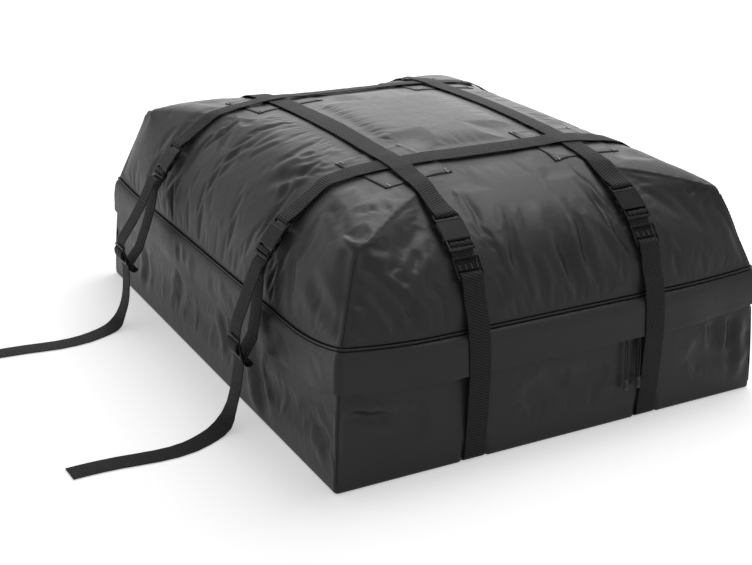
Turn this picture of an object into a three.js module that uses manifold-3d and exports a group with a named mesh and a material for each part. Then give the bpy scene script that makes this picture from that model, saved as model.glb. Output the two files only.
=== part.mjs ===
// Roof cargo bag: a soft weatherproof box of coated fabric with a zipped lid, strapped to a roof rack.
// Millimetres. X runs across the front face, Y runs back along the car, Z is up, and the base rests on Z = 0.

import * as THREE from "three";
import { mergeVertices } from "three/addons/utils/BufferGeometryUtils.js";
import Module from "manifold-3d";

const wasm = await Module();
wasm.setup();

const V = (x, y, z) => new THREE.Vector3(x, y, z);
const { clamp, degToRad, lerp, smoothstep } = THREE.MathUtils;

// Sizes of the bag body
const BAG_WIDTH = 800;
const BAG_LENGTH = 1000;
const CROWN_HEIGHT = 410;
const WALL_LEAN = 14; // how far the tub wall leans in by the time it reaches the seam
const BASE_EDGE = 7; // round along the bottom edges
const TUB_CORNER = 12; // plan radius of the tub's upright corners
const SEAM_CORNER = { frontLeft: 225, frontRight: 220, backRight: 212, backLeft: 206 };
const SEAM_SIDE = { front: 213, right: 211, back: 207, left: 199 };
const SEAM_RISE_LENGTH = 170; // the seam climbs to a corner over this length of a side
const LID_SECTION_ACROSS = 4; // superellipse powers of the lid's section
const LID_SECTION_ALONG = 3;
const LID_PEAK_INSET = 49; // how far the lid's pinched corner stands in from the seam
const LID_PEAK_RISE = 140; // and how high it stands over the seam
const LID_RIDGE = 12; // plan radius of the sewn corner ridge
const PINCH_REACH = 150; // length of side that a pinched corner draws with it
const PINCH_END = 78; // the pinch has died out by this angle up the lid's section

// Sizes of the webbing and of the gaps between pieces
const GAP = 0.35; // between pieces that touch
const WEB_WIDTH = 38;
const WEB_THICK = 1.8;
const WEB_SEAT = 2.3; // webbing clears the fabric by this
const WEB_SIDE_ROOM = 1.5; // room beside the webbing in a slot
const LONG_STRAP_X = [-160, 172];
const CROSS_STRAP_Y = [-228, 232];

// Sizes of the patches under the crossings
const PATCH_WIDTH = 136;
const PATCH_LENGTH = 132;
const PATCH_THICK = 1;
const PATCH_TURN = [[10, 3], [5, 3]].map((row) => row.map(degToRad)); // front, back: left and right

// Sizes of the seam, the rain flap and the zip behind it
const WELT_RADIUS = 2.5;
const FLAP_THICK = 1.5;
const FLAP_STANDOFF = 11; // from the tub wall to the flap's inner face
const FLAP_DEPTH = 66;
const ZIP_DROP = 31; // from the seam down to the middle of the zip
const TAPE_WIDTH = 14.2;
const TAPE_THICK = 0.9;
const COIL_WIDTH = 2.4;
const COIL_THICK = 2.4;
const COIL_SLIT = 2.2; // open slit between the two coils
const COIL_STANDOFF = 1.8; // from the tub wall to the back of the coil
const SLIDER_LENGTH = 16;
const SLIDER_HEIGHT = 13;
const SLIDER_PLATE = 1.15;
const SLIDER_FRONT = 2.2;
const SLIDER_X = [121, 146];
const BAIL_HEIGHT = 2.7;
const PULL_NECK_WIDTH = 5.6;
const PULL_NECK_THICK = 1.3;
const PULL_WIDTH = 8;
const PULL_THICK = 2.6;
const PULL_BOTTOM = 57;
const PULL_GRIP_TOP = 146;

// Sizes of the side-release buckle, along the strap from the plug's bar
const BUCKLE_WIDTH = WEB_WIDTH + 8;
const RAIL_WIDTH = (BUCKLE_WIDTH - WEB_WIDTH) / 2 - WEB_SIDE_ROOM;
const BAR_HALF = 1.6;
const BAR_MIDDLE = 6.2; // height of the bars over the frame's seat
const PLUG_SHOULDER = [8, 12];
const SOCKET_START = PLUG_SHOULDER[1] + GAP;
const SOCKET_BODY_END = 47;
const SOCKET_BOTTOM = 1.8;
const SOCKET_TOP = 10.6;
const CAVITY = { bottom: 3.9, top: 8.5, half: 18.9, end: 44 };
const WINDOW = [23, 38];
const LADDER_BAR = 55;
const END_BAR = [61.2, 65.6];
const END_BAR_BOTTOM = 4.4;
const END_BAR_TOP = 9;
const BUCKLE_MIDDLE = 33;
const PRONG_WIDTH = 5.5;
const BLADE_HALF = 3;

// Sizes of the three-bar slide
const SLIDE_HALF = 17;
const SLIDE_BAR = 4.5;
const SLIDE_CENTRE_HALF = 5;
const SLIDE_THICK = 3.2;
const SLIDE_RIBS = 4;
const RIB = { width: 2.6, height: 0.8 };

// Where the hardware sits, as lengths up the lid's surface from the seam
const LONG_BUCKLE_AT = 150;
const LONG_SLIDE_AT = 93;
const CROSS_BUCKLE_AT = 104;
const CROSS_BUCKLE_KICK = degToRad(9); // the hanging webbing lifts the buckle's lower end

// Layers of webbing over the seat of a buckle
const FRONT_LAYER = END_BAR_BOTTOM - GAP - WEB_THICK / 2;
const BACK_LAYER = FRONT_LAYER - WEB_THICK - GAP;

// The hanging loops beside the bag: distances out from its side and heights, from the buckle down
const SIDE_LOOPS = [
  {
    name: "front",
    slide: [40, 139],
    lean: degToRad(6),
    outer: [[0, 268], [13, 236], [25, 205], [35, 180]],
    inner: [[-4, 258], [-1, 228], [3, 192], [10, 150]],
    uTurn: [23.3, 114],
  },
  {
    name: "back",
    slide: [70, 143],
    lean: degToRad(9),
    outer: [[4, 278], [22, 242], [44, 205], [63, 178]],
    inner: [[0, 262], [8, 228], [20, 192], [36, 150]],
    uTurn: [52.4, 118],
  },
];
const U_RADIUS = 8.5;

// Routes of the two free webbing tails, from the slide down to the ground and away from the bag:
// how far in from the bag's side, how far back from the strap's line, and the height
const TAIL_THICK = 2;
const TAIL_LIE = TAIL_THICK / 2 + 0.3;
const TAIL_TURN = 32; // a falling tail turns square to its way over the ground below this height
const FRONT_TAIL = [
  [-34, 0, 107], [-35, 0, 97], [-37, 0, 84], [-39.5, 0, 69], [-43, 0, 53],
  [-48, -0.5, 36], [-56, -3, 20], [-67, -8, 8.5], [-82, -15, 2.6], [-98, -23, TAIL_LIE],
  [-116, -32, TAIL_LIE], [-136, -39.5, TAIL_LIE], [-162, -44, TAIL_LIE], [-190, -44, TAIL_LIE],
  [-220, -41, TAIL_LIE], [-250, -37.5, TAIL_LIE], [-280, -36, TAIL_LIE], [-304, -36, TAIL_LIE],
  [-326, -37, TAIL_LIE],
];
const BACK_TAIL = [
  [-62.7, 0, 111], [-62.9, 0, 100], [-63.4, 0, 88], [-64.4, 0, 75], [-66, 0, 60],
  [-69, 0, 46], [-73.5, 0, 33], [-80, -1, 20], [-89, -3.5, 9], [-102, -8.5, 2.8],
  [-118, -15.5, TAIL_LIE], [-136, -23.5, TAIL_LIE], [-156, -30.5, TAIL_LIE], [-180, -34.5, TAIL_LIE],
  [-208, -35.5, TAIL_LIE], [-236, -32.5, TAIL_LIE], [-265, -28.5, TAIL_LIE], [-290, -26.5, TAIL_LIE],
  [-314, -25, TAIL_LIE], [-340, -23.5, TAIL_LIE], [-360, -22.5, TAIL_LIE],
];

// Soft folds in the fabric: a line that the fold follows, its half width and how far it stands out.
// The line's ends are shares of the bag's half width and half length, and a height.
const onBag = (x, y, z) => V((x * BAG_WIDTH) / 2, (y * BAG_LENGTH) / 2, z);
const LID_FOLDS = [
  { from: onBag(-0.8625, -0.956, 250), to: onBag(-0.5375, -0.94, 300), wide: 26, out: 5 },
  { from: onBag(-0.825, -0.968, 240), to: onBag(-0.6, -0.9, 335), wide: 22, out: -5 },
  { from: onBag(-0.15, -0.8, 350), to: onBag(-0.075, -0.96, 260), wide: 28, out: -6 },
  { from: onBag(0.025, -0.76, 362), to: onBag(0.1, -0.964, 250), wide: 26, out: 5 },
  { from: onBag(0.2, -0.79, 352), to: onBag(0.2375, -0.956, 262), wide: 26, out: -5 },
  { from: onBag(0.625, -0.84, 330), to: onBag(0.75, -0.95, 260), wide: 26, out: -4 },
  { from: onBag(-0.95, -0.12, 260), to: onBag(-0.625, 0.14, 385), wide: 34, out: -6 },
  { from: onBag(-0.96, -0.22, 245), to: onBag(-0.675, -0.04, 380), wide: 30, out: 5 },
  { from: onBag(-0.96, 0.12, 245), to: onBag(-0.75, 0.3, 365), wide: 30, out: 4 },
  { from: onBag(0.95, -0.12, 265), to: onBag(0.675, 0.12, 380), wide: 34, out: -5 },
  { from: onBag(-0.15, 0.8, 350), to: onBag(0.05, 0.96, 260), wide: 34, out: -5 },
];
const TUB_FOLDS = [
  { from: onBag(-1, -0.66, 120), to: onBag(-1, -0.4, 60), wide: 30, out: -6 },
  { from: onBag(-1, -0.24, 125), to: onBag(-1, 0, 50), wide: 34, out: -6 },
  { from: onBag(-1, 0.12, 120), to: onBag(-1, 0.32, 60), wide: 34, out: 4 },
  { from: onBag(-0.75, -1, 115), to: onBag(-0.6, -1, 60), wide: 30, out: -5 },
  { from: onBag(0.675, -1, 120), to: onBag(0.875, -1, 60), wide: 30, out: -5 },
  { from: onBag(1, -0.24, 125), to: onBag(1, 0.08, 50), wide: 34, out: -5 },
  { from: onBag(0, 1, 120), to: onBag(0.225, 1, 60), wide: 34, out: -5 },
];
const FOLD_TOP = 128; // folds in the tub stop below the rain flap
const STRAP_PRESS = [32, 62]; // straps hold the fabric flat out to here, and free it from there

// Finishes
const finish = (color, roughness) => ({ color, roughness, metalness: 0 });
const FABRIC = finish(0x3a3a3b, 0.5);
const TRIM = finish(0x2e2e2f, 0.5);
const WEBBING = finish(0x262627, 0.75);
const PLASTIC = finish(0x1c1c1d, 0.4);
const PATCH = finish(0x444446, 0.5);
const ZIP = finish(0x18181a, 0.6);

const part = new THREE.Group();

function addMesh(name, geometry, finishOf) {
  const mesh = new THREE.Mesh(geometry, new THREE.MeshStandardMaterial(finishOf));
  mesh.name = name;
  part.add(mesh);
  return mesh;
}

// Solids from triangles, and their joins and cuts

// Six times the volume inside a closed surface, negative where its faces point inwards
function volumeOf(points, triangles) {
  let sum = 0;
  for (let i = 0; i < triangles.length; i += 3) {
    const [a, b, c] = [0, 1, 2].map((k) => points[triangles[i + k]]);
    sum += a.dot(b.clone().cross(c));
  }
  return sum;
}

function geometryOf(points, triangles) {
  if (volumeOf(points, triangles) < 0) triangles.reverse();
  const geometry = new THREE.BufferGeometry().setFromPoints(points);
  geometry.setIndex(triangles);
  geometry.computeVertexNormals();
  return geometry;
}

function toSolid(geometry) {
  const bare = geometry.clone();
  for (const name of Object.keys(bare.attributes)) {
    if (name !== "position") bare.deleteAttribute(name);
  }
  const merged = mergeVertices(bare, 1e-4);
  return new wasm.Manifold(
    new wasm.Mesh({
      numProp: 3,
      vertProperties: merged.attributes.position.array,
      triVerts: new Uint32Array(merged.index.array),
    }),
  );
}

function toGeometry(solid) {
  const mesh = solid.getMesh();
  const geometry = new THREE.BufferGeometry();
  geometry.setAttribute("position", new THREE.BufferAttribute(mesh.vertProperties, 3));
  geometry.setIndex(new THREE.BufferAttribute(mesh.triVerts, 1));
  geometry.computeVertexNormals();
  return geometry;
}

const join = (...geometries) => toGeometry(geometries.map(toSolid).reduce((a, b) => a.add(b)));
const cut = (geometry, ...tools) =>
  toGeometry(tools.map(toSolid).reduce((a, b) => a.subtract(b), toSolid(geometry)));

function block(x0, x1, y0, y1, z0, z1) {
  const geometry = new THREE.BoxGeometry(x1 - x0, y1 - y0, z1 - z0);
  return geometry.translate((x0 + x1) / 2, (y0 + y1) / 2, (z0 + z1) / 2);
}

// A flat plate with the outline given in X and Y, from z0 up to z1
function plate(outline, z0, z1) {
  const shape = new THREE.Shape(outline.map(([x, y]) => new THREE.Vector2(x, y)));
  return new THREE.ExtrudeGeometry(shape, { depth: z1 - z0, bevelEnabled: false }).translate(0, 0, z0);
}

// Rings of points round the bag. Each ring has the same stations, so that rings can be lofted together.

const SIDES = ["front", "right", "back", "left"];
const CORNER_AFTER = ["frontRight", "backRight", "backLeft", "frontLeft"];
const CORNER_BEFORE = ["frontLeft", "frontRight", "backRight", "backLeft"];
const CORNER_STEPS = 3;
const COARSE_PER_SIDE = 6;
const FINE_PER_COARSE = 3;

// Stations walk anticlockwise from the front left corner: a run along each side, then the corner after it
function stations(perSide) {
  const list = [];
  SIDES.forEach((_, side) => {
    for (let i = 1; i < perSide; i++) list.push({ side, along: i / perSide });
    for (let i = 0; i <= CORNER_STEPS; i++) list.push({ side, turn: i / CORNER_STEPS });
  });
  return list;
}
const COARSE = stations(COARSE_PER_SIDE);
const FINE = stations(COARSE_PER_SIDE * FINE_PER_COARSE);

// The point of a rounded rectangle at a station, for one side turned to the front: across, out
function ringPoint(station, halfX, halfY, radius) {
  const lying = station.side % 2 === 0;
  const half = lying ? halfX : halfY;
  const out = lying ? halfY : halfX;
  let across;
  let away;
  if (station.turn === undefined) {
    across = lerp(radius - half, half - radius, station.along);
    away = out;
  } else {
    const angle = (station.turn * Math.PI) / 2;
    across = half - radius + radius * Math.sin(angle);
    away = out - radius + radius * Math.cos(angle);
  }
  const turned = [[across, -away], [away, across], [-across, away], [-away, -across]];
  return turned[station.side];
}

// 1 at a corner, falling to 0 over the given length of side
function cornerWeight(station, halfX, halfY, reach) {
  if (station.turn !== undefined) return 1;
  const length = 2 * (station.side % 2 === 0 ? halfX : halfY);
  const fromCorner = Math.min(station.along, 1 - station.along) * length;
  return Math.max(0, 1 - fromCorner / reach) ** 2;
}

const SEAM_HALF_X = BAG_WIDTH / 2 - WALL_LEAN;
const SEAM_HALF_Y = BAG_LENGTH / 2 - WALL_LEAN;

// The seam's height, worked out at the coarse stations and straight between them
function seamHeight(station) {
  const side = SEAM_SIDE[SIDES[station.side]];
  if (station.turn !== undefined) return SEAM_CORNER[CORNER_AFTER[station.side]];
  const at = (along) => {
    const corners = along < 0.5 ? CORNER_BEFORE : CORNER_AFTER;
    const corner = SEAM_CORNER[corners[station.side]];
    const whole = { side: station.side, along };
    return lerp(side, corner, cornerWeight(whole, SEAM_HALF_X, SEAM_HALF_Y, SEAM_RISE_LENGTH));
  };
  const step = Math.floor(station.along * COARSE_PER_SIDE + 1e-6);
  const rest = station.along * COARSE_PER_SIDE - step;
  if (rest < 1e-6) return at(step / COARSE_PER_SIDE);
  return lerp(at(step / COARSE_PER_SIDE), at((step + 1) / COARSE_PER_SIDE), rest);
}

// How far the tub wall stands in from its foot, at a share of the way up to the seam
const wallLean = (share) => WALL_LEAN * clamp(share, 0, 1) ** 1.5;

// The wall's plan radius at its corners, which sharpens from the foot up to the seam
const wallRadius = (share) => lerp(TUB_CORNER, LID_RIDGE, clamp(share, 0, 1));

// A point off the tub wall: out from it, and down from the seam
function offWall(station, out, drop) {
  const seam = seamHeight(station);
  const share = (seam - drop) / seam;
  const away = out - wallLean(share);
  const [x, y] = ringPoint(station, BAG_WIDTH / 2 + away, BAG_LENGTH / 2 + away, wallRadius(share) + out);
  return V(x, y, seam - drop);
}

// A closed band round the bag, from a section given as [out, drop] pairs
function wallBand(section) {
  const points = [];
  for (const station of COARSE) section.forEach(([out, drop]) => points.push(offWall(station, out, drop)));
  return geometryOf(points, loftTriangles(COARSE.length, section.length, true));
}

// Triangles of a grid of rows and columns whose columns close on themselves
function loftTriangles(rows, columns, closed) {
  const triangles = [];
  const last = closed ? rows : rows - 1;
  for (let r = 0; r < last; r++) {
    for (let c = 0; c < columns; c++) {
      const a = r * columns + c;
      const b = r * columns + ((c + 1) % columns);
      const d = ((r + 1) % rows) * columns + c;
      const e = ((r + 1) % rows) * columns + ((c + 1) % columns);
      triangles.push(a, b, e, a, e, d);
    }
  }
  return triangles;
}

// A closed body from rings stacked upwards, each end closed by a fan to a middle point
function ringStack(rings, bottomMiddle, topMiddle) {
  const count = rings[0].length;
  const points = rings.flat();
  const triangles = loftTriangles(rings.length, count, false);
  const bottom = points.push(bottomMiddle) - 1;
  const top = points.push(topMiddle) - 1;
  const lastRing = (rings.length - 1) * count;
  for (let c = 0; c < count; c++) {
    const next = (c + 1) % count;
    triangles.push(bottom, next, c);
    triangles.push(top, lastRing + c, lastRing + next);
  }
  return geometryOf(points, triangles);
}

// The lid's surface

const LID_RISE = CROWN_HEIGHT - SEAM_SIDE.front;
const PEAK_ANGLE = Math.asin(LID_PEAK_RISE / LID_RISE);
const PINCH_END_ANGLE = degToRad(PINCH_END);

// Half sizes and corner radius of the lid at an angle up its section: 0 at the seam, a right angle at the crown
function lidRing(angle) {
  const level = Math.max(Math.cos(angle), 0);
  const halfX = SEAM_HALF_X * level ** (2 / LID_SECTION_ACROSS);
  const halfY = SEAM_HALF_Y * level ** (2 / LID_SECTION_ALONG);
  const rounding = smoothstep(angle, PEAK_ANGLE * 0.9, Math.PI / 2);
  const radius = lerp(Math.min(LID_RIDGE, halfX, halfY), Math.min(halfX, halfY), rounding);
  return { halfX, halfY, radius };
}

// How far the corner is drawn out from the ring at an angle, along X and along Y
function pinchAt(angle) {
  const draw = (at) => {
    const share = Math.min(Math.sin(at) / Math.sin(PEAK_ANGLE), 1);
    const ring = lidRing(at);
    return [
      SEAM_HALF_X - LID_PEAK_INSET * share - ring.halfX,
      SEAM_HALF_Y - LID_PEAK_INSET * share - ring.halfY,
    ];
  };
  if (angle <= PEAK_ANGLE) return draw(angle);
  const fade = 1 - smoothstep(angle, PEAK_ANGLE, PINCH_END_ANGLE);
  return draw(PEAK_ANGLE).map((d) => d * fade);
}

// How freely the fabric can fold at a point: 0 under a strap
function freeOfStraps(p) {
  const near = (value, lines) => Math.min(...lines.map((line) => Math.abs(value - line)));
  const longitudinal = smoothstep(near(p.x, LONG_STRAP_X), ...STRAP_PRESS);
  const transverse = smoothstep(near(p.y, CROSS_STRAP_Y), ...STRAP_PRESS);
  const onEnds = Math.abs(p.y) > BAG_LENGTH / 2 - LID_PEAK_INSET * 2;
  const onSides = Math.abs(p.x) > BAG_WIDTH / 2 - LID_PEAK_INSET;
  return (onSides && !onEnds ? 1 : longitudinal) * (onEnds ? 1 : transverse);
}

// The fabric's outward direction, taken from a smaller box inside the bag
function outward(p) {
  const core = V(
    clamp(p.x, 130 - BAG_WIDTH / 2, BAG_WIDTH / 2 - 130),
    clamp(p.y, 130 - BAG_LENGTH / 2, BAG_LENGTH / 2 - 130),
    clamp(p.z, 0, CROWN_HEIGHT - 130),
  );
  return p.clone().sub(core).normalize();
}

function folded(p, folds, share) {
  let out = 0;
  for (const fold of folds) {
    const near = new THREE.Line3(fold.from, fold.to).closestPointToPoint(p, true, V(0, 0, 0));
    out += fold.out * Math.exp(-((near.distanceTo(p) / fold.wide) ** 2));
  }
  return p.clone().addScaledVector(outward(p), out * share);
}

const LID_ROWS = 12;

function lidGeometry() {
  const rings = [];
  for (let row = 0; row < LID_ROWS; row++) {
    const angle = ((row / LID_ROWS) * Math.PI) / 2;
    const ring = lidRing(angle);
    const [pinchX, pinchY] = pinchAt(angle);
    rings.push(
      FINE.map((station) => {
        const [x, y] = ringPoint(station, ring.halfX, ring.halfY, ring.radius);
        const weight = cornerWeight(station, ring.halfX, ring.halfY, PINCH_REACH);
        const seam = seamHeight(station);
        const z = seam + (CROWN_HEIGHT - seam) * Math.sin(angle);
        const p = V(x + Math.sign(x) * pinchX * weight, y + Math.sign(y) * pinchY * weight, z);
        return row === 0 ? p : folded(p, LID_FOLDS, freeOfStraps(p));
      }),
    );
  }
  return ringStack(rings, V(0, 0, SEAM_SIDE.front), V(0, 0, CROWN_HEIGHT));
}

// The tub below the seam, with channels where the two long straps pass under it
const TUB_SHARES = [0.22, 0.44, 0.64, 0.84, 1];

function tubGeometry(channels) {
  const rings = [[0, BASE_EDGE], [BASE_EDGE * 0.3, BASE_EDGE * 0.3], [BASE_EDGE, 0]].map(([z, inset]) =>
    FINE.map((station) => {
      const [x, y] = ringPoint(station, BAG_WIDTH / 2 - inset, BAG_LENGTH / 2 - inset, TUB_CORNER - inset / 2);
      return V(x, y, z);
    }),
  );
  for (const share of TUB_SHARES) {
    const lean = wallLean(share);
    rings.push(
      FINE.map((station) => {
        const [x, y] = ringPoint(
          station, BAG_WIDTH / 2 - lean, BAG_LENGTH / 2 - lean, wallRadius(share),
        );
        const p = V(x, y, share * (seamHeight(station) - GAP));
        const free = freeOfStraps(p) * (1 - smoothstep(p.z, FOLD_TOP - 30, FOLD_TOP + 20));
        return folded(p, TUB_FOLDS, free);
      }),
    );
  }
  const whole = ringStack(rings, V(0, 0, 0), V(0, 0, SEAM_SIDE.front - GAP));
  return cut(whole, ...channels);
}

// Paths of the straps over the lid

const ray = new THREE.Raycaster();
const PATH_STEPS = 300;
const PATH_SMOOTH = 12; // length either side over which a path's direction is averaged

// True where the outline turns inwards at b, so that a taut strap would bridge it
const hollow = (a, b, c) => (b.d - a.d) * (c.z - b.z) >= (b.z - a.z) * (c.d - b.d);

// The seam's highest point under a strap that crosses a side at the given place along it
function seamUnder(side, at) {
  const half = (side % 2 === 0 ? SEAM_HALF_X : SEAM_HALF_Y) - LID_RIDGE;
  const heights = [-0.5, 0, 0.5].map((share) => {
    const place = at + share * WEB_WIDTH;
    const across = side < 2 ? place : -place;
    return seamHeight({ side, along: (across + half) / (2 * half) });
  });
  return Math.max(...heights);
}

// The taut path of a strap over the lid in one upright plane, along Y or along X
function surfacePath(lid, alongY, at) {
  const ends = alongY ? ["front", "back"] : ["left", "right"];
  const seamLevels = ends.map((name) => seamUnder(SIDES.indexOf(name), at));
  const spot = (d, z, beside) => (alongY ? V(at + beside, d, z) : V(d, at + beside, z));
  const bridged = [];
  for (let i = 0; i <= PATH_STEPS; i++) {
    const angle = (i / PATH_STEPS) * Math.PI;
    const [back, up] = [-Math.cos(angle), Math.sin(angle)];
    const away = alongY ? V(0, back, up) : V(back, 0, up);
    const level = seamLevels[i < PATH_STEPS / 2 ? 0 : 1] + GAP;
    const reach = (beside) => {
      ray.set(spot(0, level, beside).addScaledVector(away, BAG_LENGTH), away.clone().negate());
      return BAG_LENGTH - ray.intersectObject(lid)[0].distance;
    };
    const lines = [-0.5, -0.25, 0, 0.25, 0.5].map((share) => share * WEB_WIDTH);
    const reaches = lines.map(reach);
    const tilt = (reaches[4] - reaches[0]) / WEB_WIDTH;
    const radius = Math.max(...lines.map((line, k) => reaches[k] - tilt * line));
    const point = { d: radius * back, z: level + radius * up, tilt, away };
    while (bridged.length > 1 && hollow(bridged.at(-2), bridged.at(-1), point)) bridged.pop();
    bridged.push(point);
  }
  const lengths = [0];
  for (let i = 1; i < bridged.length; i++) {
    const [a, b] = [bridged[i - 1], bridged[i]];
    lengths.push(lengths[i - 1] + Math.hypot(b.d - a.d, b.z - a.z));
  }
  const length = lengths.at(-1);
  const pointAt = (s) => {
    const i = clamp(lengths.findIndex((l) => l > s), 1, lengths.length - 1);
    const share = (s - lengths[i - 1]) / (lengths[i] - lengths[i - 1]);
    const [a, b] = [bridged[i - 1], bridged[i]];
    return {
      p: spot(lerp(a.d, b.d, share), lerp(a.z, b.z, share), 0),
      lean: a.away.clone().lerp(b.away, share).multiplyScalar(lerp(a.tilt, b.tilt, share)),
    };
  };
  // The point, outward normal and forward direction at a length along the path
  const spotAt = (s) => {
    const here = pointAt(s);
    const before = pointAt(Math.max(s - PATH_SMOOTH, 0));
    const after = pointAt(Math.min(s + PATH_SMOOTH, length - 1e-3));
    const forward = after.p.clone().sub(before.p).normalize();
    const beside = (alongY ? V(1, 0, 0) : V(0, 1, 0)).add(here.lean);
    const normal = beside.cross(forward).normalize();
    return { p: here.p, normal: alongY ? normal : normal.negate(), forward };
  };
  return { at: spotAt, length };
}

// A frame on a path for a piece near one end: along runs away from the crown, out is off the fabric
function endFrame(path, at, end) {
  const spot = path.at(end === 0 ? at : path.length - at);
  const along = spot.forward.clone().multiplyScalar(end === 0 ? -1 : 1);
  const out = spot.normal;
  return { origin: spot.p.addScaledVector(out, WEB_SEAT), along, out, across: along.clone().cross(out) };
}

// The same frame turned about its own width, around a point a length up its strap
function kicked(frame, angle, pivot) {
  const turn = new THREE.Quaternion().setFromAxisAngle(frame.across, angle);
  const hold = inFrame(frame, pivot, 0);
  return {
    origin: frame.origin.clone().sub(hold).applyQuaternion(turn).add(hold),
    along: frame.along.clone().applyQuaternion(turn),
    out: frame.out.clone().applyQuaternion(turn),
    across: frame.across,
  };
}

const inFrame = (frame, along, out) =>
  frame.origin.clone().addScaledVector(frame.along, along).addScaledVector(frame.out, out);

const frameMatrix = (frame) =>
  new THREE.Matrix4().makeBasis(frame.across, frame.along, frame.out).setPosition(frame.origin);

// Webbing

// Steps of a strap: each has a point p and the direction across the webbing
const stepsIn = (frame, pairs) =>
  pairs.map(([along, out]) => ({ p: inFrame(frame, along, out), across: frame.across }));
const stepsBack = (steps) => steps.slice().reverse();

// A section swept along steps; the section is a list of [across, through] pairs
function sweep(steps, section) {
  const rings = steps.map(({ p, across }, i) => {
    const before = steps[Math.max(i - 1, 0)].p;
    const after = steps[Math.min(i + 1, steps.length - 1)].p;
    const forward = after.clone().sub(before).normalize();
    const square = steps[0].across.dot(across) < 0 ? across.clone().negate() : across;
    const through = forward.cross(square).normalize();
    return section.map(([u, v]) => p.clone().addScaledVector(square, u).addScaledVector(through, v));
  });
  return ringStack(rings, steps[0].p, steps[steps.length - 1].p);
}

function webSection(width, thick) {
  const u = width / 2;
  const v = thick / 2;
  return [[-u, -v], [u, -v], [u, v], [-u, v]];
}
const WEB = webSection(WEB_WIDTH, WEB_THICK);

// A tail's section has eight sides, flat with eased edges
const TAIL_EASE = 0.8;
const TAIL_SECTION = [
  [-WEB_WIDTH / 2, -TAIL_THICK / 4], [TAIL_EASE - WEB_WIDTH / 2, -TAIL_THICK / 2],
  [WEB_WIDTH / 2 - TAIL_EASE, -TAIL_THICK / 2], [WEB_WIDTH / 2, -TAIL_THICK / 4],
  [WEB_WIDTH / 2, TAIL_THICK / 4], [WEB_WIDTH / 2 - TAIL_EASE, TAIL_THICK / 2],
  [TAIL_EASE - WEB_WIDTH / 2, TAIL_THICK / 2], [-WEB_WIDTH / 2, TAIL_THICK / 4],
];

// A tail runs on from its strand's end at the slide, and keeps its width level and square to its route
function tailGeometry(start, route, line) {
  const points = [start, ...route.map(([x, y, z]) => V(x - BAG_WIDTH / 2, line + y, z))];
  const steps = points.map((p, i) => {
    const forward = points[Math.min(i + 1, points.length - 1)].clone().sub(points[Math.max(i - 1, 0)]);
    const lying = 1 - smoothstep(p.z, 2, TAIL_TURN);
    const across = V(forward.y, -forward.x, 0).normalize().lerp(V(0, 1, 0), 1 - lying).normalize();
    return { p, across };
  });
  return sweep(steps, TAIL_SECTION);
}

// The fold of a top strap round its plug's bar: over the bar, round it and back underneath
const BAR_WRAP = BAR_HALF + 2 * GAP + WEB_THICK / 2;
const PLUG_FOLD = [
  [-10, BAR_MIDDLE + 1.2], [-3, BAR_MIDDLE + BAR_WRAP - 0.2],
  [0.5, BAR_MIDDLE + BAR_WRAP], [BAR_WRAP - 0.4, BAR_MIDDLE + BAR_WRAP - 0.7], [BAR_WRAP, BAR_MIDDLE],
  [BAR_WRAP - 0.4, BAR_MIDDLE - BAR_WRAP + 0.7], [0.3, BAR_MIDDLE - BAR_WRAP], [-8, BACK_LAYER + 0.8],
];
// Beyond the fold both layers follow the lid: [length up from the plug's bar, rise over the seat]
const UPPER_LAYER = [[50, 0.5], [35, WEB_THICK + GAP + 0.9], [21, WEB_THICK + GAP + 1.6]];
const LOWER_LAYER = [[17, 0.9], [29, 0.5]];

// The loop of the lower webbing round the socket's ladder bar, from the front layer over to the back one
const LADDER_FRONT = [
  [END_BAR[1] + 1, FRONT_LAYER], [END_BAR[0] + 0.4, FRONT_LAYER + 0.1], [58.95, 5], [58.8, 7.4],
  [57.4, 9.3], [LADDER_BAR, BAR_MIDDLE + BAR_WRAP + 0.6], [52.6, 9.3], [51.2, 7.4], [51.05, 4.2],
  [51.6, 2], [53.2, BACK_LAYER + 0.1], [END_BAR[1] + 1, BACK_LAYER],
].map(([along, out]) => [along - BUCKLE_MIDDLE, out]);

const toBuckle = (pairs) => pairs.map(([along, out]) => [along - BUCKLE_MIDDLE, out]);

// The strap over the lid, from the plug at one end to the plug at the other
function topStrapSteps(path, frames, plugAt, liftAt) {
  const stepAt = (s, rise) => {
    const spot = path.at(s);
    const across = spot.forward.clone().cross(spot.normal);
    return { p: spot.p.clone().addScaledVector(spot.normal, liftAt(spot.p) + rise), across };
  };
  const barAt = plugAt + BUCKLE_MIDDLE;
  const layer = (rises, end) =>
    rises.map(([far, rise]) => stepAt(end === 0 ? barAt + far : path.length - barAt - far, rise));
  const ends = frames.map((frame, end) => [
    ...layer(UPPER_LAYER, end), ...stepsIn(frame, toBuckle(PLUG_FOLD)), ...layer(LOWER_LAYER, end),
  ]);
  const from = barAt + UPPER_LAYER[0][0] + STRAP_STEP / 2;
  const count = Math.round((path.length - 2 * from) / STRAP_STEP);
  const middle = [];
  for (let i = 0; i <= count; i++) middle.push(stepAt(lerp(from, path.length - from, i / count), 0));
  return [...stepsBack(ends[0]), ...middle, ...ends[1]];
}

// How high a strap's middle rides over the fabric: bare, on a patch, or over the strap that it crosses
const BARE_LIFT = WEB_SEAT + WEB_THICK / 2;
const PATCH_LIFT = BARE_LIFT + PATCH_THICK + GAP;
const CROSS_LIFT = WEB_THICK + 2 * GAP;
const STRAP_STEP = 15;

function strapLift(value, crossings, patchHalf, goesOver) {
  let lift = BARE_LIFT;
  crossings.forEach((line, i) => {
    const off = Math.abs(value - line);
    const onPatch = 1 - smoothstep(off, patchHalf + 4, patchHalf + 26);
    const over = goesOver(i) ? 1 - smoothstep(off, WEB_WIDTH / 2 + 5, WEB_WIDTH / 2 + 34) : 0;
    lift += onPatch * (PATCH_LIFT - BARE_LIFT) + over * CROSS_LIFT;
  });
  return lift;
}

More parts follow.
